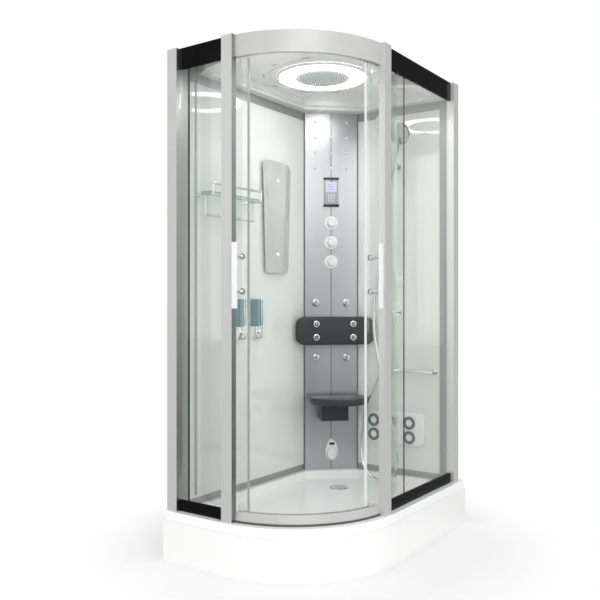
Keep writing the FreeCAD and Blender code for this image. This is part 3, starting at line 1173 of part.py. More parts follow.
def make_hose_and_elbow():
    """The hose hangs from the elbow to the tray floor, loops there and climbs to the hand shower."""
    wall, radius = value("place.short_wall_face"), value("size.elbow_radius")
    level, y = value("size.elbow_level"), value("size.elbow_y")
    mouth = Vector(wall - value("size.hose_near"), y, level - 1.6 * radius)
    path, _ = rounded_path([Vector(wall, y, level), Vector(mouth.x, y, level), mouth], bend=1.2 * radius)
    elbow = tube(path, radius).fuse(straight(Vector(wall, y, level), Vector(wall - 6, y, level), 2.4 * radius))
    node(shape_feature("elbow_shape", elbow), "hose_outlet")
    tail, neck, _, _ = handset_points()
    axis = (neck - tail).normalize()
    points = [mouth, *hose_route(), tail - axis * value("size.hose_end"),
              tail - axis * value("size.seat_gap")]
    route, radii = rounded_path(points, share=0.45)
    print("hose bend radii", [round(r) for r in radii], "length", round(route.Length))
    print("hose runs", [round((b - a).Length) for a, b in zip(points, points[1:])])
    node(shape_feature("hose_shape", tube(route, value("size.hose_diameter") / 2)), "shower_hose")


def hose_route():
    """Points between the elbow and the hand shower: down the wall, along the tray floor and up again.
    Offsets are in thousandths of the elbow's height over the tray floor, from the elbow, floor or slide rail."""
    floor, wall = value("size.basin_floor"), value("place.short_wall_face")
    level, y, slide = value("size.elbow_level"), value("size.elbow_y"), value("size.slide_y")
    unit = (level - floor) / 1000
    near, far = wall - value("size.hose_near"), wall - value("size.hose_far")
    down = [(0, 0, -100), (-5, 29, -226), (-6, 81, -369), (-7, 145, -488), (-12, 188, -619), (-20, 204, -750)]
    floor_side = [(-26, 200, 155), (-33, 174, 81), (-43, 117, 33), (-52, 45, 21)]
    turn = [(24, -5, 55), (17, -33, 129), (12, -29, 214)]
    up = [(5, -10, 319), (0, 19, 476), (0, 57, 631), (0, 93, 774), (2, 115, 917), (5, 110, 1048), (7, 88, 1202),
          (10, 62, 1369), (14, 36, 1524)]
    points = [Vector(near, y, level) + Vector(*offset) * unit for offset in down]
    points += [Vector(near, y, floor) + Vector(*offset) * unit for offset in floor_side]
    return points + [Vector(far, slide, floor) + Vector(*offset) * unit for offset in turn + up]


def make_towel_bar():
    """A towel bar across the short wall."""
    wall, stand = "place.short_wall_face", "size.towel_stand"
    radius, level = "size.towel_radius", "size.towel_low"
    start, end = "size.towel_from", "size.towel_to"
    items = [rod("towel_bar_rod", radius, f"{end} - ({start})", f"{wall} - {stand}", start, level, "y")]
    for name, y in (("left", f"{start} + 2 * {radius}"), ("right", f"{end} - 2 * {radius}")):
        items.append(rod(f"towel_{name}_arm", radius, stand, f"{wall} - {stand}", y, level, "x"))
        items.append(rod(f"towel_{name}_rosette", "size.rosette", "size.rail_radius",
                         f"{wall} - size.rail_radius", y, level, "x"))
    return fuse("towel_set", items)


def on_short_wall(item, y, z):
    """Local X runs towards -Y, local -Y out of the wall and Z up."""
    placement = item.Placement
    placement.Rotation = FreeCAD.Rotation(UP, -90)
    item.Placement = placement
    return locate(item, "place.short_wall_face - size.seat_gap / 2", y, z)


def make_foot_plate():
    """The foot massage plate, with four round jets."""
    middle_y = "(size.foot_left + size.foot_right) / 2"
    body = rounded_plate("foot_plate_body", "size.foot_left - size.foot_right", "size.foot_height",
                         "size.foot_corner", "size.foot_depth")
    items = [body]
    for row, level in (("high", "size.foot_jet_high"), ("low", "size.foot_jet_low")):
        for side, y in (("left", "size.foot_jet_left"), ("right", "size.foot_jet_right")):
            items.append(rod(f"foot_jet_{row}_{side}", "size.foot_jet_radius",
                             "size.foot_jet_reach + size.foot_depth / 2", f"{middle_y} - ({y})",
                             "-size.foot_depth / 2", f"{level} - size.foot_height / 2", "-y"))
    plate = fuse("foot_plate_set", items)
    node(on_short_wall(plate, middle_y, "size.foot_low + size.foot_height / 2"), "foot_plate")


def make_speaker():
    disc = cone("speaker_disc", "size.speaker_radius", "size.speaker_radius - size.speaker_depth / 3",
                "size.speaker_depth", "0", "0", "0", "-y")
    node(on_short_wall(group("speaker_set", [disc]), "size.speaker_y", "place.speaker_level"), "speaker")


# ---- roof ----

def ceiling_outline(sketch, inset):
    """Round towards the doors, with room for the ends of the roller track, and straight along the walls."""
    reach = f"(place.ceiling_radius - {inset})"
    angle = f"(size.ceiling_end + asin({inset} / {reach}) / 1 deg)"
    start_x, start_y = f"(place.arc_x - {reach} * cos({angle}))", f"(place.arc_y - {reach} * sin({angle}))"
    front = f"(-place.ceiling_front + {inset})"
    right, back = f"place.short_wall_face - {inset}", f"(place.long_wall_face - {inset})"
    corners = [(start_x, start_y),
               (f"{start_x} + ({start_y} - {front}) / tan(180 - size.ceiling_end)", front),
               (right, front),
               (right, f"place.short_wall_end - 0.4 * size.column_return - {inset}"),
               (f"place.long_wall_end - 0.6 * size.column_return - {inset}", back),
               (f"place.arc_x - sqrt({reach} ^ 2 - ({back} - place.arc_y) ^ 2)", back)]
    middle = (f"place.arc_x - {reach} * cos(45)", f"place.arc_y - {reach} * sin(45)")
    draw_arc_outline(sketch, corners, ("place.arc_x", "place.arc_y"), middle)


def make_ceiling():
    """The stepped lining under the roof, hollow above, with a wide hole for the light and rain head."""
    body = new_body("ceiling_body")
    gap, low = "size.seat_gap", "place.ceiling_low"
    outline = new_sketch(body, "ceiling_outline_sketch", "XY_Plane")
    ceiling_outline(outline, gap)
    raise_sketch(outline, low)
    pad(body, outline, "size.ceiling_thickness")
    lower = new_sketch(body, "ceiling_first_step", "XY_Plane")
    ceiling_outline(lower, "size.ceiling_step")
    raise_sketch(lower, low)
    pocket(body, lower, "size.ceiling_step_rise", upwards=True)
    well = new_sketch(body, "ceiling_well_outline", "XY_Plane")
    ceiling_outline(well, "(size.ceiling_step + size.ceiling_well)")
    raise_sketch(well, low)
    pocket(body, well, "size.ceiling_thickness - size.ceiling_skin", upwards=True)
    doc.recompute()
    node(body, "ceiling_panel")


def make_roof():
    """The moulded roof with a raised rim and a low housing over the rain head."""
    back, right = "place.long_wall_back", "place.short_wall_back"
    radius = "(size.tray_corner - size.roof_inset)"
    left, front = f"place.arc_x - {radius}", f"place.arc_y - {radius}"

    def outline(body, name, inset):
        sketch = new_sketch(body, name, "XY_Plane")
        reach = f"({radius} - {inset})"
        corners = [("place.arc_x", f"{front} + {inset}"), (f"{right} - {inset}", f"{front} + {inset}"),
                   (f"{right} - {inset}", f"{back} - {inset}"), (f"{left} + {inset}", f"{back} - {inset}"),
                   (f"{left} + {inset}", "place.arc_y")]
        middle = (f"place.arc_x - {reach} * cos(45)", f"place.arc_y - {reach} * sin(45)")
        draw_arc_outline(sketch, corners, ("place.arc_x", "place.arc_y"), middle)
        return sketch

    wall, skin = "size.roof_wall", "size.roof_skin"
    rim_top = "place.roof_base + size.roof_rim"
    body = new_body("roof_body")
    whole = outline(body, "roof_outline", "0")
    raise_sketch(whole, "place.roof_base")
    pad(body, whole, "size.roof_rim")
    inner = outline(body, "roof_inner", wall)
    raise_sketch(inner, rim_top)
    pocket(body, inner, f"size.roof_rim - {skin}")
    half_x, half_y = "size.roof_box_length / 2", "size.roof_box_width / 2"
    x = (f"size.light_x - {half_x}", f"size.light_x + {half_x}")
    y = (f"size.light_y - {half_y}", f"size.light_y + {half_y}")
    lid = span_box("roof_box_block", x, y, ("place.roof_base", "size.cabin_height"))
    void = span_box("roof_box_void", (f"{x[0]} + {wall}", f"{x[1]} - {wall}"), (f"{y[0]} + {wall}", f"{y[1]} - {wall}"),
                    ("place.roof_base - size.roof_rim", f"size.cabin_height - {skin}"))
    gap = "size.seat_gap"
    z = ("place.roof_base - size.roof_rim", "place.roof_base + 2 * size.roof_rim")
    left_notch = span_box("roof_left_notch", ("-size.tray_length / 2", f"place.outer_post_in + {gap}"),
                          (f"{back} - size.outer_post_width - {gap}", "size.tray_width / 2"), z)
    near = "place.front_wall_end"
    right_notch = span_box("roof_right_notch", (f"{right} - size.outer_post_width - {gap}", "size.tray_length / 2"),
                           ("-size.tray_width / 2", f"{near} + {gap}"), z)
    hollow = fuse("roof_voids", [void, left_notch, right_notch])
    node(cut("roof_whole", fuse("roof_lid", [body, lid]), hollow), "roof_cover")


def make_roof_fittings():
    x, y = "size.light_x", "size.light_y"
    under = "place.ceiling_low + size.ceiling_thickness - size.ceiling_skin - size.seat_gap"
    disc = rod("light_disc", "size.light_radius", "size.light_thickness", x, y, f"{under} - size.light_thickness")
    hole = rod("light_hole", "size.light_hole", "3 * size.light_thickness", x, y,
               f"{under} - 2 * size.light_thickness")
    node(cut("light", disc, hole), "light_ring")
    plate = rod("rain_plate", "size.rain_radius", "size.rain_thickness", x, y, f"{under} - size.rain_thickness")
    node(group("rain_set", [plate]), "rain_head")
    body = cone("vent_body", "size.vent_radius", "size.vent_radius - size.vent_lip", "size.vent_height", "place.vent_x",
                "place.vent_y", f"{under} - size.vent_height")
    node(group("vent_set", [body]), "vent_fan")


def make_water_pipe():
    """The supply from behind the column, over the ceiling to the rain head."""
    turn = math.radians(value("size.column_turn"))
    behind = Vector(-math.sin(turn), math.cos(turn), 0)
    reach = value("size.column_plate + size.upright + size.valve_back")
    foot = Vector(value("place.column_x"), value("place.column_y"), value("size.knob_top + size.valve_margin"))
    foot += behind * (value("size.column_plate + size.seat_gap + size.valve_depth / 2"))
    back = Vector(value("place.column_x"), value("place.column_y"), 0) + behind * reach
    level = value("place.pipe_level")
    ceiling = value("place.ceiling_low + size.ceiling_thickness + size.seat_gap")
    centre = Vector(value("size.light_x"), value("size.light_y"), ceiling)
    points = [foot + UP * value("size.seat_gap"), Vector(foot.x, foot.y, level), Vector(centre.x, centre.y, level),
              centre]
    path, _ = rounded_path(points, bend=value("size.pipe_radius") * 1.4)
    node(shape_feature("water_pipe_shape", tube(path, value("size.pipe_radius"))), "water_pipe")


make_tray()
make_skirt()
node(make_frame_and_feet(), "tray_frame")
make_drain()
make_posts()
make_fixed_panels()
make_curved_rails()
make_track()
make_door("left")
make_door("right")
make_walls()
make_column_panels()
make_service_frame()
make_valve()
make_knobs()
make_jets()
make_control_panel()
make_massage_bar()
make_seat()
make_steam_parts()
make_mirror()
node(group("rails", [make_shelf(), make_towel_bar()]), "wall_rails")
make_soap_units()
make_slide_rail()
make_hand_shower()
make_holder()
make_hose_and_elbow()
make_foot_plate()
make_speaker()
make_ceiling()
make_roof()
make_roof_fittings()
make_water_pipe()

doc.recompute()
faults = [item.Name for item in doc.Objects if {"Invalid", "Error"} & set(item.State)]
if faults:
    raise RuntimeError(f"objects that do not compute: {faults}")

os.makedirs("parts", exist_ok=True)
for item in parts:
    shape = item.Shape
    if shape.isNull() or not shape.isValid():
        raise RuntimeError(f"{item.Label} has no valid shape")
    low, high = shape.BoundBox, shape.BoundBox
    print(f"{item.Label:22s} solids {len(shape.Solids):2d} volume {shape.Volume:13.0f}"
          f"  x {low.XMin:8.1f} {high.XMax:8.1f}  y {low.YMin:8.1f} {high.YMax:8.1f}  z {low.ZMin:8.1f} {high.ZMax:8.1f}")
    shape.exportStep(f"parts/{item.Label}.step")
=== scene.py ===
import math
import bmesh
import bpy
from mathutils import Matrix, Vector


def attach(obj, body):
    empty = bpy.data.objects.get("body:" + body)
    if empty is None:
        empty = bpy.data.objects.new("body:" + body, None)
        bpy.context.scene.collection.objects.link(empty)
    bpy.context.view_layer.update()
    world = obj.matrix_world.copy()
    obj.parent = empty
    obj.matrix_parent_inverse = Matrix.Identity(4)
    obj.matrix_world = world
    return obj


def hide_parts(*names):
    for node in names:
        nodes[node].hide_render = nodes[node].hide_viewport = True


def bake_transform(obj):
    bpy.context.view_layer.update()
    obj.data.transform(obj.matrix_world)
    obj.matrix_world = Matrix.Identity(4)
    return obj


# The looks of a steam shower cabin: 1.2 m along X, 0.8 m along Y, with a rounded front corner.
# Lengths are in metres, apart from the hose's route.

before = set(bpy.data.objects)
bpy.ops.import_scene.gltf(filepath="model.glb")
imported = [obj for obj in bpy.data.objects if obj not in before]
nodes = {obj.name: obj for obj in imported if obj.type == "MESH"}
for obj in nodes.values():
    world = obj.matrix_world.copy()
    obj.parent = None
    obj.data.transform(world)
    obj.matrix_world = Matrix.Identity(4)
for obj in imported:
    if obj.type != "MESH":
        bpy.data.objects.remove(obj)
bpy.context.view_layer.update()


# ---- places ----

def at(x, y, z):
    return Matrix.Translation((x, y, z))


def turned(degrees, axis):
    return Matrix.Rotation(math.radians(degrees), 4, axis)


COLUMN = at(0.423, 0.2445, 0) @ turned(-47.9, "Z")
LONG_WALL = at(0, 0.35, 0)
SHORT_WALL = at(0.518, 0, 0) @ turned(-90, "Z")
ARC_CENTRE = Vector((-0.1, 0.1, 0))
DRAIN = at(0.27, 0.1, 0.1633)
LIGHT_RING = at(-0.03, 0, 2.0347) @ turned(180, "X")

# heights on the column
NOZZLE_TOP, NOZZLE_STEP = 1.955, 0.078
PANEL_LEVEL = 1.601
KNOB_LEVELS = {"mixer": 1.445, "diverter": 1.3465, "steam": 1.248}
JET_LEVELS = (1.043, 0.768)
PAD_LEVEL = 0.903
SEAT_LEVEL = 0.549
STEAM_LEVEL = 0.302

# the hose's route in millimetres, from the wall outlet to the hand shower
HOSE_ROUTE = [
    (468, -86, 985.6), (468, -86, 916), (463.8, -61.6, 810.2), (463, -18, 690), (462.1, 35.8, 590.1),
    (457.9, 71.9, 480), (451.2, 85.4, 370), (446.2, 82, 290.2), (440.3, 60.2, 228),
    (431.9, 12.3, 187.7), (424.3, -48.2, 177.6), (438.2, -102.2, 206.2), (432.3, -125.7, 268.4),
    (428.1, -122.4, 339.8), (422.2, -106.4, 428), (418, -82, 559.8), (418, -50.1, 690),
    (418, -19.9, 810.2), (419.7, -1.4, 930.3), (422.2, -5.6, 1040.3), (423.9, -24.1, 1169.7),
    (426.4, -45.9, 1310), (429.8, -67.8, 1440.2), (431.2, -59.8, 1529), (426, -79.9, 1599.7),
]
HOSE_DIAMETER = 0.014


def facing(wall, x, z, out=0.0):
    """Local Z points from the wall into the cabin, local Y up and local X along the wall."""
    return wall @ at(x, -out, z) @ turned(90, "X")


def on_arc(theta, z=0.0):
    """Local X points out of the rounded corner at the angle theta."""
    return Matrix.Translation(ARC_CENTRE + Vector((0, 0, z))) @ turned(180 + theta, "Z")


# ---- materials ----

# a Mix node's two inputs and its output, which Blender keeps apart for each type of data
MIX_SOCKETS = {"FLOAT": (2, 3, 0), "RGBA": (6, 7, 2)}
GRAIN_DEPTH = 0.0004


def principled(material):
    return material.node_tree.nodes["Principled BSDF"]


def opaque(color):
    return (*color, 1)


def shader(name, color, roughness=0.4, metallic=0.0, **sockets):
    """A Principled material in one colour. Other sockets are named with underscores for spaces."""
    material = bpy.data.materials.new(name)
    material.use_nodes = True
    inputs = principled(material).inputs
    inputs["Base Color"].default_value = opaque(color)
    inputs["Roughness"].default_value = roughness
    inputs["Metallic"].default_value = metallic
    for socket, content in sockets.items():
        inputs[socket.replace("_", " ")].default_value = content
    return material


def add(owner, kind, **values):
    """A new node in the tree of a material or world, with its sockets and properties set."""
    node = owner.node_tree.nodes.new(kind)
    for key, content in values.items():
        if key in node.inputs:
            node.inputs[key].default_value = content
        else:
            setattr(node, key, content)
    return node


def feed(owner, socket, source):
    """Links another node's output to a socket, or gives it a plain value."""
    if isinstance(source, bpy.types.NodeSocket):
        owner.node_tree.links.new(source, socket)
    else:
        socket.default_value = source


def ramp(owner, source, low, high, start=0.0, end=1.0, interpolation="LINEAR"):
    """Takes a value from start..end to low..high."""
    node = add(owner, "ShaderNodeMapRange", interpolation_type=interpolation)
    for name, content in (("Value", source), ("From Min", start), ("From Max", end),
                          ("To Min", low), ("To Max", high)):
        feed(owner, node.inputs[name], content)
    return node.outputs["Result"]


def reckon(owner, operation, *sources):
    node = add(owner, "ShaderNodeMath", operation=operation)
    for socket, source in zip(node.inputs, sources):
        feed(owner, socket, source)
    return node.outputs[0]


def mixed(owner, share, first, second, data_type="RGBA"):
    node = add(owner, "ShaderNodeMix", data_type=data_type)
    one, two, out = MIX_SOCKETS[data_type]
    feed(owner, node.inputs[0], share)
    feed(owner, node.inputs[one], first)
    feed(owner, node.inputs[two], second)
    return node.outputs[out]


def show_mixed(material, share, first, second):
    """Makes a mix of two shaders the material's surface."""
    mix = add(material, "ShaderNodeMixShader")
    for socket, source in zip(mix.inputs, (share, first, second)):
        feed(material, socket, source)
    feed(material, material.node_tree.nodes["Material Output"].inputs["Surface"], mix.outputs[0])


def object_place(owner):
    return add(owner, "ShaderNodeTexCoord").outputs["Object"]


def along_axis(owner, vector, axis):
    parts = add(owner, "ShaderNodeSeparateXYZ")
    feed(owner, parts.inputs[0], vector)
    return parts.outputs[axis]


def object_noise(material, scale, stretch=(1, 1, 1), detail=3.0):
    """Noise in the object's own coordinates, stretched per axis."""
    mapping = add(material, "ShaderNodeMapping", Scale=stretch)
    noise = add(material, "ShaderNodeTexNoise", Scale=scale, Detail=detail)
    feed(material, mapping.inputs["Vector"], object_place(material))
    feed(material, noise.inputs["Vector"], mapping.outputs["Vector"])
    return noise.outputs["Fac"]


def vary_roughness(material, noise, low, high):
    feed(material, principled(material).inputs["Roughness"], ramp(material, noise, low, high, 0.3, 0.7))


def bump(material, height, strength):
    node = add(material, "ShaderNodeBump", Strength=strength, Distance=GRAIN_DEPTH)
    feed(material, node.inputs["Height"], height)
    feed(material, principled(material).inputs["Normal"], node.outputs["Normal"])


def metal(name, color, low, high, scale=60.0, stretch=(1, 1, 1)):
    material = shader(name, color, metallic=1.0)
    vary_roughness(material, object_noise(material, scale, stretch), low, high)
    return material


def brushed(name, color, low, high, stretch):
    material = metal(name, color, low, high, 14.0, stretch)
    bump(material, object_noise(material, 30.0, stretch, 6.0), 0.12)
    return material


def plastic(name, color, low=0.2, high=0.3, grain=0.0, scale=90.0, **sockets):
    material = shader(name, color, **sockets)
    noise = object_noise(material, scale)
    vary_roughness(material, noise, low, high)
    if grain:
        bump(material, noise, grain)
    return material


def glow(name, color, strength):
    return shader(name, color, 0.35, Emission_Color=opaque(color), Emission_Strength=strength)


def clear_glass(name, tint):
    """A thin pane: it bends nothing, reflects with its coat and lets the lamps' light through."""
    material = shader(name, tint, roughness=0.0, IOR=1.0, Transmission_Weight=1.0, Coat_Weight=1.0,
                      Coat_IOR=1.5, Coat_Roughness=0.0)
    clear = add(material, "ShaderNodeBsdfTransparent", Color=opaque([1 - (1 - c) * 0.6 for c in tint]))
    path = add(material, "ShaderNodeLightPath")
    lit = reckon(material, "MAXIMUM", path.outputs["Is Shadow Ray"], path.outputs["Is Diffuse Ray"])
    show_mixed(material, lit, principled(material).outputs[0], clear.outputs[0])
    return material


def paint_shade(material, axis, start, end, share):
    """Paints shade into a material: darkens its colour from one place to another along one of the
    object's axes.
    """
    base = principled(material).inputs["Base Color"]
    near = base.default_value[:]
    far = opaque([channel * share for channel in near[:3]])
    reach = ramp(material, along_axis(material, object_place(material), axis), 0.0, 1.0, start, end)
    feed(material, base, mixed(material, reach, near, far))
    return material


def edge_seal(name, color, leading, trailing):
    """A soft strip, milky where the doors meet and nearly clear at the edge behind the post."""
    material = shader(name, color, 0.02, IOR=1.0)
    behind = reckon(material, "GREATER_THAN", along_axis(material, object_place(material), "X"), 0.0)
    clearness = ramp(material, behind, leading, trailing)
    feed(material, principled(material).inputs["Transmission Weight"], clearness)
    return material


def post_metal(name, front, left_side_painted_shade, right_side):
    """Coated on the faces that look out of the cabin. The sides that face the panes are fully metallic on
    the left, with painted shade in their dark colour, and satin and a touch lighter on the right."""
    material = plastic(name, front, 0.3, 0.36, scale=8)
    normal = add(material, "ShaderNodeNewGeometry").outputs["Normal"]
    right_half = reckon(material, "GREATER_THAN",
                        along_axis(material, object_place(material), "X"), -0.4)
    sideways = mixed(material, right_half, along_axis(material, normal, "Y"),
                     along_axis(material, normal, "X"), "FLOAT")
    share = ramp(material, reckon(material, "ABSOLUTE", sideways), 0.0, 1.0, 0.5, 0.9)
    side = mixed(material, right_half, opaque(left_side_painted_shade), opaque(right_side))
    shine = ramp(material, right_half, 1.0, 0.4)
    inputs = principled(material).inputs
    feed(material, inputs["Metallic"], ramp(material, share, 0.3, shine))
    feed(material, inputs["Base Color"], mixed(material, share, opaque(front), side))
    return material


ALUMINIUM = plastic("satin_aluminium", (0.56, 0.565, 0.555), 0.32, 0.38, scale=8, Metallic=0.35)
# the dark second colour is painted shade on the left posts' sides that face the panes
POST = post_metal("post_metal", (0.63, 0.635, 0.625), (0.34, 0.347, 0.34), (0.66, 0.665, 0.655))
FRAME = plastic("frame_aluminium", (0.36, 0.37, 0.36), 0.35, 0.42, scale=8, Metallic=0.5)
RAIL = metal("rail_chrome", (0.62, 0.64, 0.64), 0.04, 0.1, 25)
# painted reflection: the chrome slide rail gets a glossy near-white colour that stands in for its bright
# reflections
SLIDE = plastic("bright_rail", (0.95, 0.96, 0.96), 0.05, 0.1, scale=25, Metallic=0.2, Coat_Weight=1.0)
HEADER = plastic("pale_header", (0.56, 0.565, 0.555), 0.42, 0.5, scale=8, Metallic=0.25)
# painted shade: the header colour darkens to 0.15 of itself below z 0.206, along the bottom rail's lower
# edge
paint_shade(HEADER, "Z", 0.211, 0.206, 0.15)  # the bottom rail's shaded lower edge
CHROME = metal("chrome", (0.86, 0.87, 0.88), 0.03, 0.09, 25)
COLUMN_STEEL = brushed("brushed_column", (0.47, 0.49, 0.50), 0.3, 0.34, (1.2, 1.2, 60))
STEEL = metal("plain_steel", (0.55, 0.56, 0.57), 0.35, 0.5, 30)
ACRYLIC = plastic("white_acrylic", (0.95, 0.96, 0.955), 0.16, 0.26, grain=0.5, scale=150)
SKIRT = plastic("skirt_acrylic", (0.93, 0.93, 0.925), 0.12, 0.2, scale=8, Coat_Weight=0.3)
CEILING = plastic("ceiling_acrylic", (0.80, 0.81, 0.80), 0.18, 0.28, scale=10)
ROOF = plastic("roof_acrylic", (0.8, 0.81, 0.8), 0.3, 0.4, scale=10)
BAND = plastic("black_band", (0.004, 0.004, 0.0045), 0.16, 0.24, scale=20, Specular_IOR_Level=0.12)
PANE_TINT = (0.962, 0.972, 0.965)
GLASS = clear_glass("clear_pane", PANE_TINT)
# painted shade: the right door pane's tint darkens from x -0.06 to 0.04 and stays darker on the stretch
# that lies behind the post
RIGHT_GLASS = paint_shade(clear_glass("right_pane_painted_shade", PANE_TINT), "X", -0.06, 0.04, 0.86)
SHELF_GLASS = clear_glass("shelf_pane", (0.42, 0.62, 0.58))
WALL_GLASS = plastic("painted_wall_glass", (0.76, 0.797, 0.755), 0.02, 0.05, scale=6, Coat_Weight=1.0)
SEAL = edge_seal("soft_seal", (0.9, 0.92, 0.91), 0.35, 0.97)
SHADED_SEAL = shader("shaded_seal", (0.42, 0.47, 0.45), 0.3, Transmission_Weight=0.35)
WHITE = plastic("white_plastic", (0.80, 0.82, 0.82), 0.14, 0.22, scale=30)
PALE = plastic("pale_plastic", (0.72, 0.745, 0.745), 0.18, 0.28, scale=30)
GREY = plastic("grey_plastic", (0.22, 0.235, 0.23), 0.25, 0.35, scale=40)
SLATE = plastic("slate_plastic", (0.11, 0.12, 0.118), 0.3, 0.4, scale=40)
CLIP = plastic("clear_clip", (0.93, 0.95, 0.94), 0.1, 0.2, scale=40, Transmission_Weight=0.85, IOR=1.15)
DARK_PAD = plastic("dark_pad", (0.022, 0.032, 0.032), 0.38, 0.5, grain=0.15, scale=900)
DARK_SEAT = plastic("dark_seat", (0.022, 0.033, 0.034), 0.24, 0.34, grain=0.06, scale=700)
DARK = plastic("dark_plastic", (0.012, 0.012, 0.013), 0.3, 0.4, scale=80)
HOSE_METAL = metal("hose_metal", (0.8, 0.81, 0.82), 0.12, 0.22, 40)
PVC = plastic("grey_pvc", (0.3, 0.31, 0.32), 0.4, 0.5, scale=40)
BRASS = metal("cast_brass", (0.6, 0.46, 0.24), 0.3, 0.45, 50)
SILVER_PANEL = plastic("silver_panel", (0.36, 0.37, 0.38), 0.28, 0.36, scale=60, Metallic=0.5)
SCREEN = glow("backlit_screen", (0.40, 0.42, 0.72), 0.55)
KEY = plastic("key", (0.62, 0.64, 0.65), 0.3, 0.4, scale=60)
MIRROR = plastic("mirror_silver", (0.64, 0.675, 0.64), 0.02, 0.04, scale=3, Metallic=0.45)
BLUE = plastic("soap_blue", (0.31, 0.50, 0.55), 0.08, 0.16, scale=30, Transmission_Weight=0.35)
NYLON = plastic("nylon", (0.7, 0.7, 0.68), 0.35, 0.45, scale=60)
CASE = plastic("generator_case", (0.5, 0.52, 0.53), 0.4, 0.5, grain=0.2, scale=300)
LIGHT = glow("light_diffuser", (1.0, 1.0, 0.985), 9.0)
RAIN = plastic("rain_plate", (0.86, 0.89, 0.86), 0.3, 0.4, scale=30)
BEAD = plastic("nozzle_white", (0.95, 0.96, 0.96), 0.1, 0.2, scale=60)
SEAM = plastic("dark_seam", (0.03, 0.033, 0.033), 0.5, 0.6, scale=60)

LOOKS = {
    "tray": ACRYLIC, "tray_skirt": SKIRT, "tray_feet": PVC, "tray_frame": STEEL, "drain_trap": PVC,
    "drain_cover": CHROME, "posts": POST, "fixed_bands": BAND, "fixed_glass": GLASS,
    "curved_rails": HEADER, "door_track": ALUMINIUM, "wall_frames": FRAME, "wall_panels": WALL_GLASS,
    "column_panels": COLUMN_STEEL, "service_frame": STEEL, "valve_body": BRASS, "mixer_knob": WHITE,
    "diverter_knob": WHITE, "steam_knob": WHITE, "knob_rings": BEAD, "water_jets": CHROME,
    "control_panel": SILVER_PANEL, "massage_bar": DARK_PAD, "seat": DARK_SEAT,
    "seat_bracket": DARK_SEAT, "seat_pin": STEEL, "steam_outlet": WHITE, "steam_generator": CASE,
    "mirror": MIRROR, "shelf_glass": SHELF_GLASS, "wall_rails": CHROME, "soap_housings": CHROME,
    "soap_reservoirs": BLUE, "left_soap_button": CHROME, "right_soap_button": CHROME,
    "slide_rail": SLIDE, "hand_shower": RAIL, "shower_holder": RAIL, "hose_outlet": CHROME,
    "shower_hose": CHROME, "foot_plate": PALE, "speaker": PALE, "ceiling_panel": CEILING,
    "roof_cover": ROOF, "light_ring": LIGHT, "rain_head": CHROME, "vent_fan": PALE, "water_pipe": PVC,
    "left_door_glass": GLASS, "right_door_glass": RIGHT_GLASS, "left_door_seals": SHADED_SEAL,
    "right_door_seals": SEAL, "left_handle": WHITE, "right_handle": WHITE, "left_door_hangers": CLIP,
    "right_door_hangers": CLIP, "left_front_roller": NYLON, "left_rear_roller": NYLON,
    "right_front_roller": NYLON, "right_rear_roller": NYLON,
}
# the CAD pieces whose sharp edges are rounded, each with its bevel
EDGES = {
    "tray": 0.005, "tray_skirt": 0.002, "posts": 0.0025, "curved_rails": 0.0015, "wall_frames": 0.0015,
    "seat_bracket": 0.004, "left_handle": 0.0022, "right_handle": 0.0022, "ceiling_panel": 0.003,
    "roof_cover": 0.002, "fixed_bands": 0.001, "steam_generator": 0.002,
}
SHARP_EDGE = math.radians(40)

for node_name, node_object in nodes.items():
    node_object.data.materials.clear()
    node_object.data.materials.append(LOOKS[node_name])
    if node_name in EDGES:
        bevel = node_object.modifiers.new("edge", "BEVEL")
        bevel.width = EDGES[node_name]
        bevel.segments = 3
        bevel.limit_method = "ANGLE"
        bevel.angle_limit = SHARP_EDGE
        bevel.harden_normals = True


# ---- meshes ----

WELD = 1e-6


def finish_mesh(name, builder, material, matrix=None, body="cabin"):
    """Turns a bmesh into a smooth object at the origin that rides on a body, unless body is None."""
    name = name.replace(" ", "_")
    if matrix is not None:
        builder.transform(matrix)
    bmesh.ops.remove_doubles(builder, verts=builder.verts, dist=WELD)
    bmesh.ops.recalc_face_normals(builder, faces=builder.faces)
    mesh = bpy.data.meshes.new(name)
    builder.to_mesh(mesh)
    builder.free()
    mesh.polygons.foreach_set("use_smooth", [True] * len(mesh.polygons))
    mesh.set_sharp_from_angle(angle=math.radians(35))
    mesh.materials.append(material)
    piece = bpy.data.objects.new(name, mesh)
    bpy.context.scene.collection.objects.link(piece)
    if body:
        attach(piece, body)
    return piece


def stand_in(piece, cad_node):
    """Hides the CAD node that the piece stands for."""
    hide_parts(cad_node)


def lathe(profile, steps=48):
    """A solid of revolution about Z from (radius, height) points."""
    builder = bmesh.new()
    points = [builder.verts.new((radius, 0, height)) for radius, height in profile]
    edges = [builder.edges.new(pair) for pair in zip(points, points[1:])]
    bmesh.ops.spin(builder, geom=points + edges, cent=(0, 0, 0), axis=(0, 0, 1), dvec=(0, 0, 0),
                   angle=math.tau, steps=steps, use_merge=True)
    bmesh.ops.remove_doubles(builder, verts=builder.verts, dist=WELD)
    return builder


def round_rectangle(width, height, radius, steps=8):
    points = []
    for i, (sx, sy) in enumerate(((1, -1), (1, 1), (-1, 1), (-1, -1))):
        centre = (sx * (width / 2 - radius), sy * (height / 2 - radius))
        for k in range(steps + 1):
            angle = math.radians(-90 + 90 * i + 90 * k / steps)
            points.append((centre[0] + radius * math.cos(angle), centre[1] + radius * math.sin(angle)))
    return points


def egg(width, height, steps=56):
    """An oval outline that is narrower at its top."""
    turns = [math.tau * k / steps for k in range(steps)]
    return [(width / 2 * math.cos(t) * (1 - 0.18 * math.sin(t)), height / 2 * math.sin(t)) for t in turns]


def spots(pitch, reach):
    """Points on rings around a centre."""
    found = [(0.0, 0.0)]
    for ring in range(1, int(reach / pitch) + 1):
        for k in range(ring * 6):
            angle = math.tau * (k / (ring * 6) + ring * 0.07)
            found.append((ring * pitch * math.cos(angle), ring * pitch * math.sin(angle)))
    return found


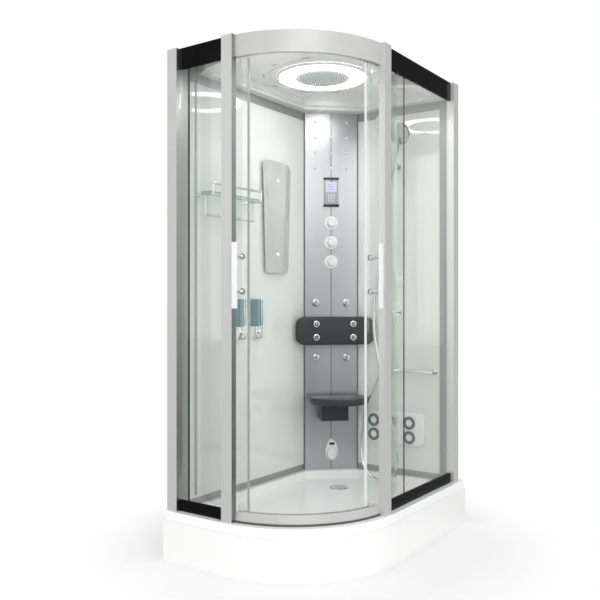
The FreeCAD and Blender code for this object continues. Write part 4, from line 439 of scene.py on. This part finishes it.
def slab(outline, thickness, edge=0.0, segments=4, base=0.0):
    """A plate from a flat outline, raised along Z, with its front rim rounded."""
    builder = bmesh.new()
    face = builder.faces.new([builder.verts.new((x, y, base)) for x, y in outline])
    extruded = bmesh.ops.extrude_face_region(builder, geom=[face])
    top = [item for item in extruded["geom"] if isinstance(item, bmesh.types.BMVert)]
    bmesh.ops.translate(builder, verts=top, vec=(0, 0, thickness))
    if edge:
        rim = [e for e in builder.edges if all(v in top for v in e.verts)]
        bmesh.ops.bevel(builder, geom=rim, offset=edge, segments=segments, profile=0.5, affect="EDGES")
    return builder


def block(width, depth, height, edge=0.0, segments=3):
    """A box centred on the origin with rounded edges."""
    builder = bmesh.new()
    bmesh.ops.create_cube(builder, size=1)
    bmesh.ops.scale(builder, vec=(width, depth, height), verts=builder.verts)
    if edge:
        bmesh.ops.bevel(builder, geom=builder.edges[:], offset=edge, segments=segments, profile=0.5,
                        affect="EDGES")
    return builder


def merged(builders):
    """One bmesh from several (bmesh, matrix) pairs."""
    whole = bmesh.new()
    for builder, matrix in builders:
        builder.transform(matrix)
        part = bpy.data.meshes.new("part")
        builder.to_mesh(part)
        builder.free()
        whole.from_mesh(part)
        bpy.data.meshes.remove(part)
    return whole


def lathes(profile, places, steps):
    """The same turned shape at several places."""
    return merged([(lathe(profile, steps), place) for place in places])


def sweep(points, radii, sides=20):
    """A closed round bar through points, with a radius at each of them."""
    builder = bmesh.new()
    rings = []
    normal = None
    for i, point in enumerate(points):
        ahead = points[min(i + 1, len(points) - 1)] - points[max(i - 1, 0)]
        ahead.normalize()
        if normal is None:
            normal = ahead.orthogonal().normalized()
        normal = (normal - ahead * normal.dot(ahead)).normalized()
        across = ahead.cross(normal)
        ring = []
        for k in range(sides):
            angle = math.tau * k / sides
            offset = (normal * math.cos(angle) + across * math.sin(angle)) * radii[i]
            ring.append(builder.verts.new(point + offset))
        rings.append(ring)
    for low, high in zip(rings, rings[1:]):
        for k in range(sides):
            builder.faces.new((low[k], low[(k + 1) % sides], high[(k + 1) % sides], high[k]))
    builder.faces.new(reversed(rings[0]))
    builder.faces.new(rings[-1])
    return builder


def smooth_path(points, steps):
    """Points along a Catmull-Rom curve through the given ones."""
    padded = [points[0] * 2 - points[1], *points, points[-1] * 2 - points[-2]]
    path = []
    for a, b, c, d in zip(padded, padded[1:], padded[2:], padded[3:]):
        for k in range(steps):
            t = k / steps
            path.append(0.5 * ((2 * b) + (c - a) * t + (2 * a - 5 * b + 4 * c - d) * t * t
                               + (3 * b - a - 3 * c + d) * t ** 3))
    return path + [points[-1]]


# ---- column ----

def make_knobs():
    ring = [(0.0118, 0.0002), (0.034, 0.0002), (0.034, 0.0022), (0.0328, 0.0042), (0.0298, 0.0068),
            (0.027, 0.0074), (0.0246, 0.0066), (0.0225, 0.0052), (0.0118, 0.0052), (0.0118, 0.0002)]
    rings = lathes(ring, [facing(COLUMN, 0, z) for z in KNOB_LEVELS.values()], 64)
    stand_in(finish_mesh("Knob rings", rings, BEAD), "knob_rings")
    top, bore = 0.0376, 0.0076
    profile = [(0, 0.0375), (0.0146, top), (0.0176, 0.0368), (0.0194, 0.0345), (0.0202, 0.031),
               (0.0212, 0.012), (0.0214, 0.0092), (0.0194, 0.0078), (0.0085, bore), (0.0079, bore),
               (0, bore)]
    for name, z in KNOB_LEVELS.items():
        ridge = block(0.0035, 0.014, 0.0012, 0.0005)
        shape = merged([(lathe(profile, 64), Matrix()), (ridge, at(0, 0.008, top))])
        knob = finish_mesh(name.capitalize() + " knob", shape, WHITE, facing(COLUMN, 0, z),
                           name + "_control")
        stand_in(knob, name + "_knob")


def make_jets():
    """Twelve small nozzles in rows of three, and four body jets."""
    nozzle_spread, jet_spread = 0.079, 0.078
    bead = [(0, 0.0042), (0.0012, 0.0042), (0.0015, 0.0036), (0.003, 0.005), (0.0048, 0.0044),
            (0.006, 0.0026), (0.0065, 0.0002)]
    collar = [(0.0066, 0.0001), (0.0066, 0.0012), (0.0078, 0.0012), (0.0082, 0.0001)]
    nozzles = [facing(COLUMN, x, NOZZLE_TOP - row * NOZZLE_STEP)
               for row in range(4) for x in (-nozzle_spread, 0, nozzle_spread)]
    finish_mesh("Nozzle beads", lathes(bead, nozzles, 20), BEAD)
    finish_mesh("Nozzle collars", lathes(collar, nozzles, 24), STEEL)
    jet = [(0, 0.0122), (0.0034, 0.0122), (0.0044, 0.0138), (0.0066, 0.0156), (0.009, 0.0154),
           (0.0108, 0.0128), (0.0114, 0.0096), (0.0132, 0.0088), (0.0164, 0.0104), (0.0188, 0.0092),
           (0.0204, 0.0056), (0.021, 0.0002)]
    throat = [(0, 0.0126), (0.0024, 0.0126), (0.0028, 0.0118)]
    jets = [facing(COLUMN, x, z) for z in JET_LEVELS for x in (-jet_spread, jet_spread)]
    finish_mesh("Jet throats", lathes(throat, jets, 20), DARK)
    stand_in(finish_mesh("Jets", lathes(jet, jets, 40), CHROME), "water_jets")


def make_seam():
    """The dark joint that runs up the middle of the column."""
    strip = block(0.0032, 0.0001, 1.79)
    finish_mesh("Column seam", strip, SEAM, COLUMN @ at(0, -0.0001, 1.1))


def make_panel():
    """The control panel: a plate between two dark bars, with a screen over twelve keys."""
    middle = facing(COLUMN, 0, PANEL_LEVEL)
    face = 0.0119
    plate = slab(round_rectangle(0.071, 0.136, 0.004), 0.012, 0.0012, 3)
    stand_in(finish_mesh("Control panel", plate, SILVER_PANEL, middle), "control_panel")
    bars = merged([(slab(round_rectangle(0.079, 0.011, 0.0038), 0.015, 0.0025), at(0, y, 0))
                   for y in (0.0675, -0.0675)])
    finish_mesh("Panel end bars", bars, DARK, middle)
    eye = [(0, 0.0142), (0.0032, 0.0138), (0.0046, 0.0125), (0.0048, 0.0115)]
    finish_mesh("Panel eye", lathe(eye, 24), DARK, middle @ at(0, 0.0565, 0))
    screen = middle @ at(0, 0.026, 0)
    rim = slab(round_rectangle(0.054, 0.051, 0.002), 0.0008, 0.0003, base=face)
    finish_mesh("Screen frame", rim, PALE, screen)
    glass = slab(round_rectangle(0.048, 0.045, 0.0012), 0.0006, 0.0003, base=0.0127)
    finish_mesh("Screen", glass, SCREEN, screen)
    marks = []
    row_step, mark_height, mark_gap = 0.0125, 0.005, 0.0045
    for row, widths in enumerate(((0.014, 0.009), (0.026,), (0.007, 0.007, 0.007))):
        start = -0.019
        for width in widths:
            mark = slab(round_rectangle(width, mark_height, 0.0008, 2), 0.0002)
            marks.append((mark, at(start + width / 2, -row * row_step, 0)))
            start += width + mark_gap
    finish_mesh("Screen marks", merged(marks), SILVER_PANEL, middle @ at(0, 0.0385, 0.01331))
    key_step_x, key_step_y, first_row = 0.013, 0.01, -0.0147
    keys = [(slab(round_rectangle(0.009, 0.0066, 0.002, 4), 0.0014, 0.0005, 2),
             at(column * key_step_x, first_row - row * key_step_y, face))
            for row in range(4) for column in (-1, 0, 1)]
    finish_mesh("Keys", merged(keys), KEY, middle)


def make_massage_pad():
    pad = slab(round_rectangle(0.39, 0.138, 0.04, 12), 0.032, 0.011, 6, base=0.06)
    back = block(0.18, 0.119, 0.0755, 0.004)
    shape = merged([(pad, Matrix()), (back, at(-0.008, 0.0, 0.0379))])
    centre = facing(COLUMN, 0.008, PAD_LEVEL)
    stand_in(finish_mesh("Massage pad", shape, DARK_PAD, centre), "massage_bar")
    places = [facing(COLUMN, x, z, 0.0915) for x in (-0.088, 0.096) for z in (0.871, 0.937)]
    ring = [(0.0088, 0.0), (0.0088, 0.0046), (0.01, 0.006), (0.0132, 0.0064), (0.0158, 0.0056),
            (0.0174, 0.0034), (0.0176, 0.0)]
    heart = [(0, 0.0044), (0.002, 0.0044), (0.0042, 0.0038), (0.005, 0.0016)]
    well = [(0, 0.0016), (0.0088, 0.0014)]
    shade = [(0.0176, 0.0002), (0.0176, 0.0012), (0.0215, 0.0012), (0.022, 0.0002)]
    for name, profile, material in (("rings", ring, CHROME), ("hearts", heart, STEEL),
                                    ("wells", well, DARK), ("shades", shade, DARK)):
        finish_mesh("Pad jet " + name, lathes(profile, places, 48), material)


def make_seat():
    """A half-round seat on a hinge knuckle. Its curved rim is an arc through both front corners."""
    middle, half, back_y = 0.021, 0.139, -0.066
    centre_y, radius, arc_steps = -0.088, 0.152, 40
    hinge = at(0, -0.05, 0.0165)
    edge_y = centre_y - math.sqrt(radius ** 2 - half ** 2)
    start = math.atan2(edge_y - centre_y, -half)
    end = math.atan2(edge_y - centre_y, half)
    if start > 0:
        start -= math.tau
    outline = [(middle + half, back_y), (middle - half, back_y)]
    for k in range(arc_steps + 1):
        angle = start + (end - start) * k / arc_steps
        outline.append((middle + radius * math.cos(angle), centre_y + radius * math.sin(angle)))
    board = slab(outline, 0.033, 0.006, 5)
    share, fixed_y = 0.86, -0.075
    inner = [(middle + (x - middle) * share, fixed_y + (y - fixed_y) * share) for x, y in outline]
    cushion = slab(inner, 0.0012, 0.0006, 2, base=0.0325)
    tongue = block(0.09, 0.03, 0.02, 0.001)
    knuckle = lathe([(0, -0.045), (0.0135, -0.045), (0.014, -0.0445), (0.014, 0.0445),
                     (0.0135, 0.045), (0, 0.045)], 32)
    shape = merged([(board, Matrix()), (cushion, Matrix()), (tongue, at(0, -0.065, 0.0165)),
                    (knuckle, hinge @ turned(90, "Y"))])
    seat = finish_mesh("Bench", shape, DARK_SEAT, COLUMN @ at(0, 0, SEAT_LEVEL), "folding_seat")
    stand_in(seat, "seat")


def make_steam_outlet():
    centre = facing(COLUMN, 0, STEAM_LEVEL)
    shell = slab(egg(0.064, 0.106), 0.03, 0.011, 7)
    stand_in(finish_mesh("Steam outlet", shell, WHITE, centre), "steam_outlet")
    low = centre @ at(0, -0.013, 0)
    finish_mesh("Outlet lid", slab(egg(0.045, 0.062), 0.004, 0.0026, 4, base=0.0288), WHITE, low)
    finish_mesh("Outlet line", slab(egg(0.048, 0.065), 0.0008, 0.0003, 2, base=0.0294), GREY, low)
    mouth = slab(round_rectangle(0.027, 0.013, 0.006, 6), 0.0012, 0.0004, 2, base=0.0291)
    finish_mesh("Outlet mouth", mouth, DARK, centre @ at(0, 0.033, 0))


# ---- shower ----

def make_hand_shower():
    tail, neck = Vector((0.426, -0.08, 1.6)), Vector((0.412, -0.134, 1.79))
    face = Vector((-0.87, 0.1, -0.48)).normalized()
    head_centre = neck + Vector((-0.010, -0.020, 0.060))
    back = head_centre - face * 0.012
    axis = (neck - tail).normalized()
    points = smooth_path([tail, tail + axis * 0.05, tail + axis * 0.12, neck,
                          neck + Vector((-0.004, -0.009, 0.03)),
                          back + face * 0.006 - Vector((0, 0, 0.004))], 6)
    thin, swell, swell_end = 0.0104, 0.0032, 1.15
    radii = [thin + swell * math.sin(math.pi * min(1, i / len(points) * swell_end))
             for i in range(len(points))]
    head = [(0, 0), (0.022, 0.0005), (0.036, 0.003), (0.048, 0.0075), (0.0555, 0.013),
            (0.058, 0.018), (0.0572, 0.0215), (0.0535, 0.0236), (0.0505, 0.024), (0.0498, 0.0228),
            (0, 0.0228)]
    aim = Matrix.Translation(back) @ face.to_track_quat("Z", "Y").to_matrix().to_4x4()
    shape = merged([(sweep(points, radii, 24), Matrix()), (lathe(head, 64), aim)])
    handset = finish_mesh("Hand shower", shape, RAIL, body="shower_slider")
    stand_in(handset, "hand_shower")
    nozzle = [(0, 0.0022), (0.0008, 0.002), (0.0013, 0)]
    dots = lathes(nozzle, [aim @ at(x, y, 0.0227) for x, y in spots(0.0085, 0.044)], 8)
    finish_mesh("Hand shower nozzles", dots, DARK, body="shower_slider")


def make_hose():
    """A tube along the route's spline."""
    route = [Vector(point) / 1000 for point in HOSE_ROUTE]
    curve = bpy.data.curves.new("Hose route", "CURVE")
    curve.dimensions = "3D"
    curve.resolution_u = 12
    spline = curve.splines.new("NURBS")
    spline.points.add(len(route) - 1)
    for point, place in zip(spline.points, route):
        point.co = (*place, 1)
    spline.order_u = 3
    spline.use_endpoint_u = True
    guide = bpy.data.objects.new("Hose route", curve)
    line = bpy.data.meshes.new_from_object(guide)
    path = [vertex.co.copy() for vertex in line.vertices]
    bpy.data.meshes.remove(line)
    bpy.data.objects.remove(guide)
    bpy.data.curves.remove(curve)
    tube = sweep(path, [HOSE_DIAMETER / 2] * len(path))
    hose = finish_mesh("Hose", tube, HOSE_METAL, body=None)
    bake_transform(hose)
    stand_in(hose, "shower_hose")


def make_ceiling_fittings():
    plate = [(0, 0.0128), (0.108, 0.0132), (0.1145, 0.0126), (0.1185, 0.0104), (0.12, 0.007), (0.12, 0)]
    stand_in(finish_mesh("Rain head", lathe(plate, 96), RAIN, LIGHT_RING), "rain_head")
    nozzle = [(0, 0.0024), (0.0012, 0.002), (0.002, 0)]
    beads = lathes(nozzle, [LIGHT_RING @ at(x, y, 0.013) for x, y in spots(0.0105, 0.104)], 8)
    finish_mesh("Rain nozzles", beads, GREY)
    rim = [(0.19, 0.0), (0.19, 0.0085), (0.1925, 0.0105), (0.197, 0.009), (0.2, 0.0)]
    finish_mesh("Light rim", lathe(rim, 96), CEILING, LIGHT_RING)
    emboss = [(0.228, 0.0), (0.2305, 0.003), (0.2345, 0.003), (0.237, 0.0)]
    finish_mesh("Ceiling emboss", lathe(emboss, 96), CEILING, LIGHT_RING)
    slot_count, slot_radius = 10, 0.258
    slots = [(slab(round_rectangle(0.006, 0.034, 0.0028, 4), 0.0008),
              LIGHT_RING @ turned(360 * (k + 0.5) / slot_count, "Z") @ at(slot_radius, 0, 0.0))
             for k in range(slot_count)]
    finish_mesh("Ceiling slots", merged(slots), GREY)


# ---- doors ----

def make_handles():
    """Flat white bars on two bright studs, with a cap inside the pane."""
    stud = [(0, 0), (0.0095, 0), (0.0095, 0.003), (0.007, 0.0045), (0.007, 0.0447), (0, 0.0447)]
    cap = [(0, 0.0066), (0.0056, 0.0066), (0.0082, 0.0058), (0.0098, 0.004), (0.0104, 0.0022),
           (0.0104, 0)]
    rim = [(0.0104, 0.0), (0.0104, 0.0024), (0.0118, 0.0024), (0.012, 0.0)]
    bar_radius, outer_face, inner_face = 0.495, 0.4463, 0.4397
    for side, theta in (("left", 7.95), ("right", 78.35)):
        place = on_arc(theta)
        bar = finish_mesh(side + " handle bar", block(0.008, 0.024, 0.253, 0.0028, 4), WHITE,
                          place @ at(bar_radius, 0, 1.1485), side + "_door")
        stand_in(bar, side + "_handle")
        studs, rims = [], []
        for z in (1.087, 1.222):
            outward = place @ at(outer_face, 0, z) @ turned(90, "Y")
            inward = place @ at(inner_face, 0, z) @ turned(-90, "Y")
            studs += [(lathe(stud, 32), outward), (lathe(cap, 32), inward)]
            rims.append((lathe(rim, 32), inward))
        finish_mesh(side + " handle studs", merged(studs), CHROME, body=side + "_door")
        finish_mesh(side + " handle rims", merged(rims), DARK, body=side + "_door")


# ---- walls ----

def make_mirror():
    """A tapered mirror with round corners, on two white bolts."""
    corners = [(-0.001, 1.183), (0.173, 1.183), (0.194, 1.711), (-0.022, 1.711)]
    radii = (0.012, 0.03, 0.04, 0.012)
    outline = []
    for i, (x, z) in enumerate(corners):
        here, before, after = Vector((x, z)), Vector(corners[i - 1]), Vector(corners[(i + 1) % 4])
        back, ahead = (before - here).normalized(), (after - here).normalized()
        half = back.angle(ahead) / 2
        centre = here + (back + ahead).normalized() * radii[i] / math.sin(half)
        first = here + back * radii[i] / math.tan(half)
        last = here + ahead * radii[i] / math.tan(half)
        for k in range(9):
            step = (first - centre).lerp(last - centre, k / 8).normalized() * radii[i]
            outline.append(tuple(centre + step))
    mirror = finish_mesh("Mirror", slab(outline, 0.006, 0.0015, 3), MIRROR,
                         LONG_WALL @ at(0, -0.014, 0) @ turned(90, "X"))
    stand_in(mirror, "mirror")
    bolt = [(0, 0.026), (0.0065, 0.026), (0.0088, 0.0248), (0.0098, 0.0226), (0.01, 0.0)]
    bolts = lathes(bolt, [facing(LONG_WALL, 0.086, z) for z in (1.273, 1.621)], 32)
    finish_mesh("Mirror bolts", bolts, BEAD)


def make_soap_units():
    """Two dispensers: a blue bottle between bright cheeks, on a housing with a push button."""
    width, depth, cheek_width = 0.048, 0.034, 0.013
    housing_level, bottle_level, lip_level, button_level = 0.90875, 0.9992, 0.8868, 0.91
    bottle_height, line_height = 0.121, 0.115
    button_shape = [(0, 0.0095), (0.0085, 0.009), (0.0105, 0.007), (0.011, 0.003), (0.011, -0.012)]
    housings, tanks, cheeks, lines = [], [], [], []
    for name, left in (("left", -0.218), ("right", -0.096)):
        x = left + width / 2
        right = width / 2
        housing = slab(round_rectangle(width, 0.0575, 0.005), depth, 0.004, 4)
        housings.append((housing, facing(LONG_WALL, x, housing_level)))
        tank = slab(round_rectangle(width - cheek_width, bottle_height, 0.004), depth, 0.003, 4)
        tanks.append((tank, facing(LONG_WALL, x - cheek_width / 2, bottle_level)))
        cheek = slab(round_rectangle(cheek_width - 0.003, bottle_height, 0.002), depth, 0.001, 2)
        cheeks.append((cheek, facing(LONG_WALL, x + right - cheek_width / 2 + 0.0005, bottle_level)))
        for offset in (-right + 0.0035, right - cheek_width, right - 0.0015):
            line = slab(round_rectangle(0.0022, line_height, 0.0006), 0.001, 0.0003, 2,
                        base=depth - 0.0007)
            lines.append((line, facing(LONG_WALL, x + offset, bottle_level)))
        lip = slab(round_rectangle(width - 0.002, 0.013, 0.003), depth - 0.0002, 0.002, 2)
        lines.append((lip, facing(LONG_WALL, x, lip_level)))
        button = finish_mesh(name.capitalize() + " soap button", lathe(button_shape, 32), CHROME,
                             facing(LONG_WALL, x, button_level, depth - 0.0005), name + "_push_button")
        stand_in(button, name + "_soap_button")
    stand_in(finish_mesh("Soap housings", merged(housings), CHROME), "soap_housings")
    stand_in(finish_mesh("Soap tanks", merged(tanks), BLUE), "soap_reservoirs")
    finish_mesh("Soap cheeks", merged(cheeks), CHROME)
    finish_mesh("Soap lines", merged(lines), DARK)


def make_foot_plate():
    thickness, face = 0.026, 0.0258
    plate = slab(round_rectangle(0.308, 0.16, 0.026, 10), thickness, 0.009, 6)
    centre = facing(SHORT_WALL, 0.078, 0.43)
    stand_in(finish_mesh("Foot plate", plate, WHITE, centre), "foot_plate")
    places = [facing(SHORT_WALL, x, z, face) for x in (-0.036, 0.158) for z in (0.461, 0.391)]
    ring = [(0.0175, 0.0), (0.0175, 0.0042), (0.019, 0.0058), (0.026, 0.0062), (0.0305, 0.005),
            (0.032, 0.002), (0.032, 0.0)]
    heart = [(0, 0.0036), (0.004, 0.0036), (0.0048, 0.0022), (0.009, 0.0042), (0.014, 0.0034),
             (0.0175, 0.001)]
    finish_mesh("Foot jet rings", lathes(ring, places, 48), SLATE)
    finish_mesh("Foot jet hearts", lathes(heart, places, 32), WHITE)
    pad = slab(round_rectangle(0.047, 0.045, 0.004, 4), 0.0012, 0.0005, base=face)
    finish_mesh("Foot plate inlay", pad, SLATE, facing(SHORT_WALL, 0.07, 0.4615))


def make_speaker():
    place = facing(SHORT_WALL, -0.005, 1.937)
    profile = [(0, 0.0085), (0.027, 0.0085), (0.029, 0.0105), (0.033, 0.0118), (0.037, 0.0105),
               (0.0395, 0.006), (0.04, 0)]
    stand_in(finish_mesh("Speaker", lathe(profile, 64), PALE, place), "speaker")
    hole = [(0, 0.0004), (0.0011, 0.0004), (0.0012, 0)]
    holes = lathes(hole, [place @ at(x, y, 0.0084) for x, y in spots(0.0042, 0.0245)], 8)
    finish_mesh("Speaker holes", holes, DARK)


# ---- tray ----

def make_drain_cover():
    dome = [(0, 0.0036), (0.03, 0.0039), (0.0375, 0.0034), (0.0405, 0.002), (0.041, 0.0), (0.026, 0),
            (0.026, -0.026), (0, -0.026)]
    cover = finish_mesh("Drain cover", lathe(dome, 48), CHROME, DRAIN, "strainer")
    stand_in(cover, "drain_cover")
    hole = [(0, 0.0003), (0.002, 0.0003), (0.0021, 0)]
    places = [DRAIN @ turned(360 * k / count, "Z") @ at(ring, 0, 0.0037)
              for ring, count in ((0.012, 8), (0.022, 14), (0.031, 20)) for k in range(count)]
    finish_mesh("Drain holes", lathes(hole, places, 10), DARK, body="strainer")


# ---- camera, light and stage ----

def aimed(place, target):
    """A lamp's place, with its beam on the target."""
    return at(*place) @ (Vector(target) - Vector(place)).to_track_quat("-Z", "Y").to_matrix().to_4x4()


def add_lamp(name, kind, place, target, power):
    data = bpy.data.lights.new(name, kind)
    data.energy = power
    lamp = bpy.data.objects.new(name, data)
    lamp.matrix_world = aimed(place, target)
    bpy.context.scene.collection.objects.link(lamp)
    return lamp


def soft_box(name, place, target, width, height, power):
    lamp = add_lamp(name, "AREA", place, target, power)
    lamp.data.shape = "RECTANGLE"
    lamp.data.size, lamp.data.size_y = width, height
    return lamp


def make_lights():
    middle = (0, 0, 1.0)
    soft_box("Key", (-3.6, -3.4, 3.4), middle, 3.0, 2.4, 70)
    soft_box("Left fill", (-4.2, 1.6, 2.0), middle, 2.4, 2.6, 21)
    soft_box("Right fill", (1.2, -4.6, 2.0), middle, 2.6, 2.6, 20)
    low_fill = soft_box("Low fill", (-3.3, -2.3, 0.5), (0.15, 0.1, 0.25), 2.0, 0.9, 9)
    low_fill.visible_glossy = False
    # the narrow lamp beside the light ring that shines on the top of the column
    spot = add_lamp("Column light", "SPOT", (0.19, 0.055, 2.0), (0.385, 0.29, 1.93), 0.5).data
    spot.spot_size, spot.spot_blend, spot.shadow_soft_size = math.radians(80), 1.0, 0.02


def floor_material():
    """Pale and matt round the cabin, fading to the white of the backdrop further out."""
    material = plastic("pale_floor", (0.97, 0.97, 0.97), 0.6, 0.7, scale=2)
    distance = add(material, "ShaderNodeVectorMath", operation="LENGTH")
    feed(material, distance.inputs[0], object_place(material))
    fade = ramp(material, distance.outputs["Value"], 0.0, 1.0, 0.45, 1.1, "SMOOTHSTEP")
    reflected = add(material, "ShaderNodeLightPath").outputs["Is Glossy Ray"]
    white = add(material, "ShaderNodeEmission", Color=opaque((1, 1, 1)))
    feed(material, white.inputs["Strength"], ramp(material, reflected, 1.0, 0.3))
    show_mixed(material, fade, principled(material).outputs[0], white.outputs[0])
    return material


def make_floor():
    builder = bmesh.new()
    bmesh.ops.create_grid(builder, x_segments=1, y_segments=1, size=14)
    mesh = bpy.data.meshes.new("Floor")
    builder.to_mesh(mesh)
    builder.free()
    floor = bpy.data.objects.new("Floor", mesh)
    mesh.materials.append(floor_material())
    bpy.context.scene.collection.objects.link(floor)


def make_world():
    """A white backdrop that lights the cabin evenly. Two dark flags, seen in reflections only, give
    bright metal its dark lines and clear the panes."""
    ambient, flag_level, flag_axis = 0.72, 0.16, (0.82, -0.572, 0)
    world = bpy.data.worlds.new("Studio")
    bpy.context.scene.world = world
    world.use_nodes = True
    path = add(world, "ShaderNodeLightPath").outputs
    seen = reckon(world, "MAXIMUM", path["Is Camera Ray"], path["Is Transmission Ray"])
    along = add(world, "ShaderNodeVectorMath", operation="DOT_PRODUCT")
    feed(world, along.inputs[0], add(world, "ShaderNodeTexCoord").outputs["Generated"])
    along.inputs[1].default_value = flag_axis
    either_side = reckon(world, "ABSOLUTE", along.outputs["Value"])
    flag = ramp(world, either_side, 0.0, 1.0, 0.8, 0.93, "SMOOTHSTEP")
    reflected = reckon(world, "MULTIPLY", flag, path["Is Glossy Ray"])
    background = world.node_tree.nodes["Background"]
    background.inputs["Color"].default_value = (1, 1, 1, 1)
    level = ramp(world, seen, ramp(world, reflected, ambient, flag_level), 1.0)
    feed(world, background.inputs["Strength"], level)


def make_camera():
    """The photo's own view: level, at eye height, with its lens and shift as solved from the photo."""
    data = bpy.data.cameras.new("Camera")
    data.sensor_width = 36
    data.lens = 45.01
    data.shift_y = 0.0022
    data.clip_end = 60
    camera = bpy.data.objects.new("Camera", data)
    camera.location = (-2.7785, -1.8019, 1.0494)
    camera.rotation_euler = (math.radians(90), 0, 0.6101 - math.pi / 2)
    bpy.context.scene.collection.objects.link(camera)
    bpy.context.scene.camera = camera


make_knobs()
make_jets()
make_seam()
make_panel()
make_massage_pad()
make_seat()
make_steam_outlet()
make_hand_shower()
make_ceiling_fittings()
make_handles()
make_mirror()
make_foot_plate()
make_speaker()
make_soap_units()
make_drain_cover()
make_hose()
make_floor()
make_lights()
make_world()
make_camera()
bpy.context.scene.view_settings.view_transform = "Standard"
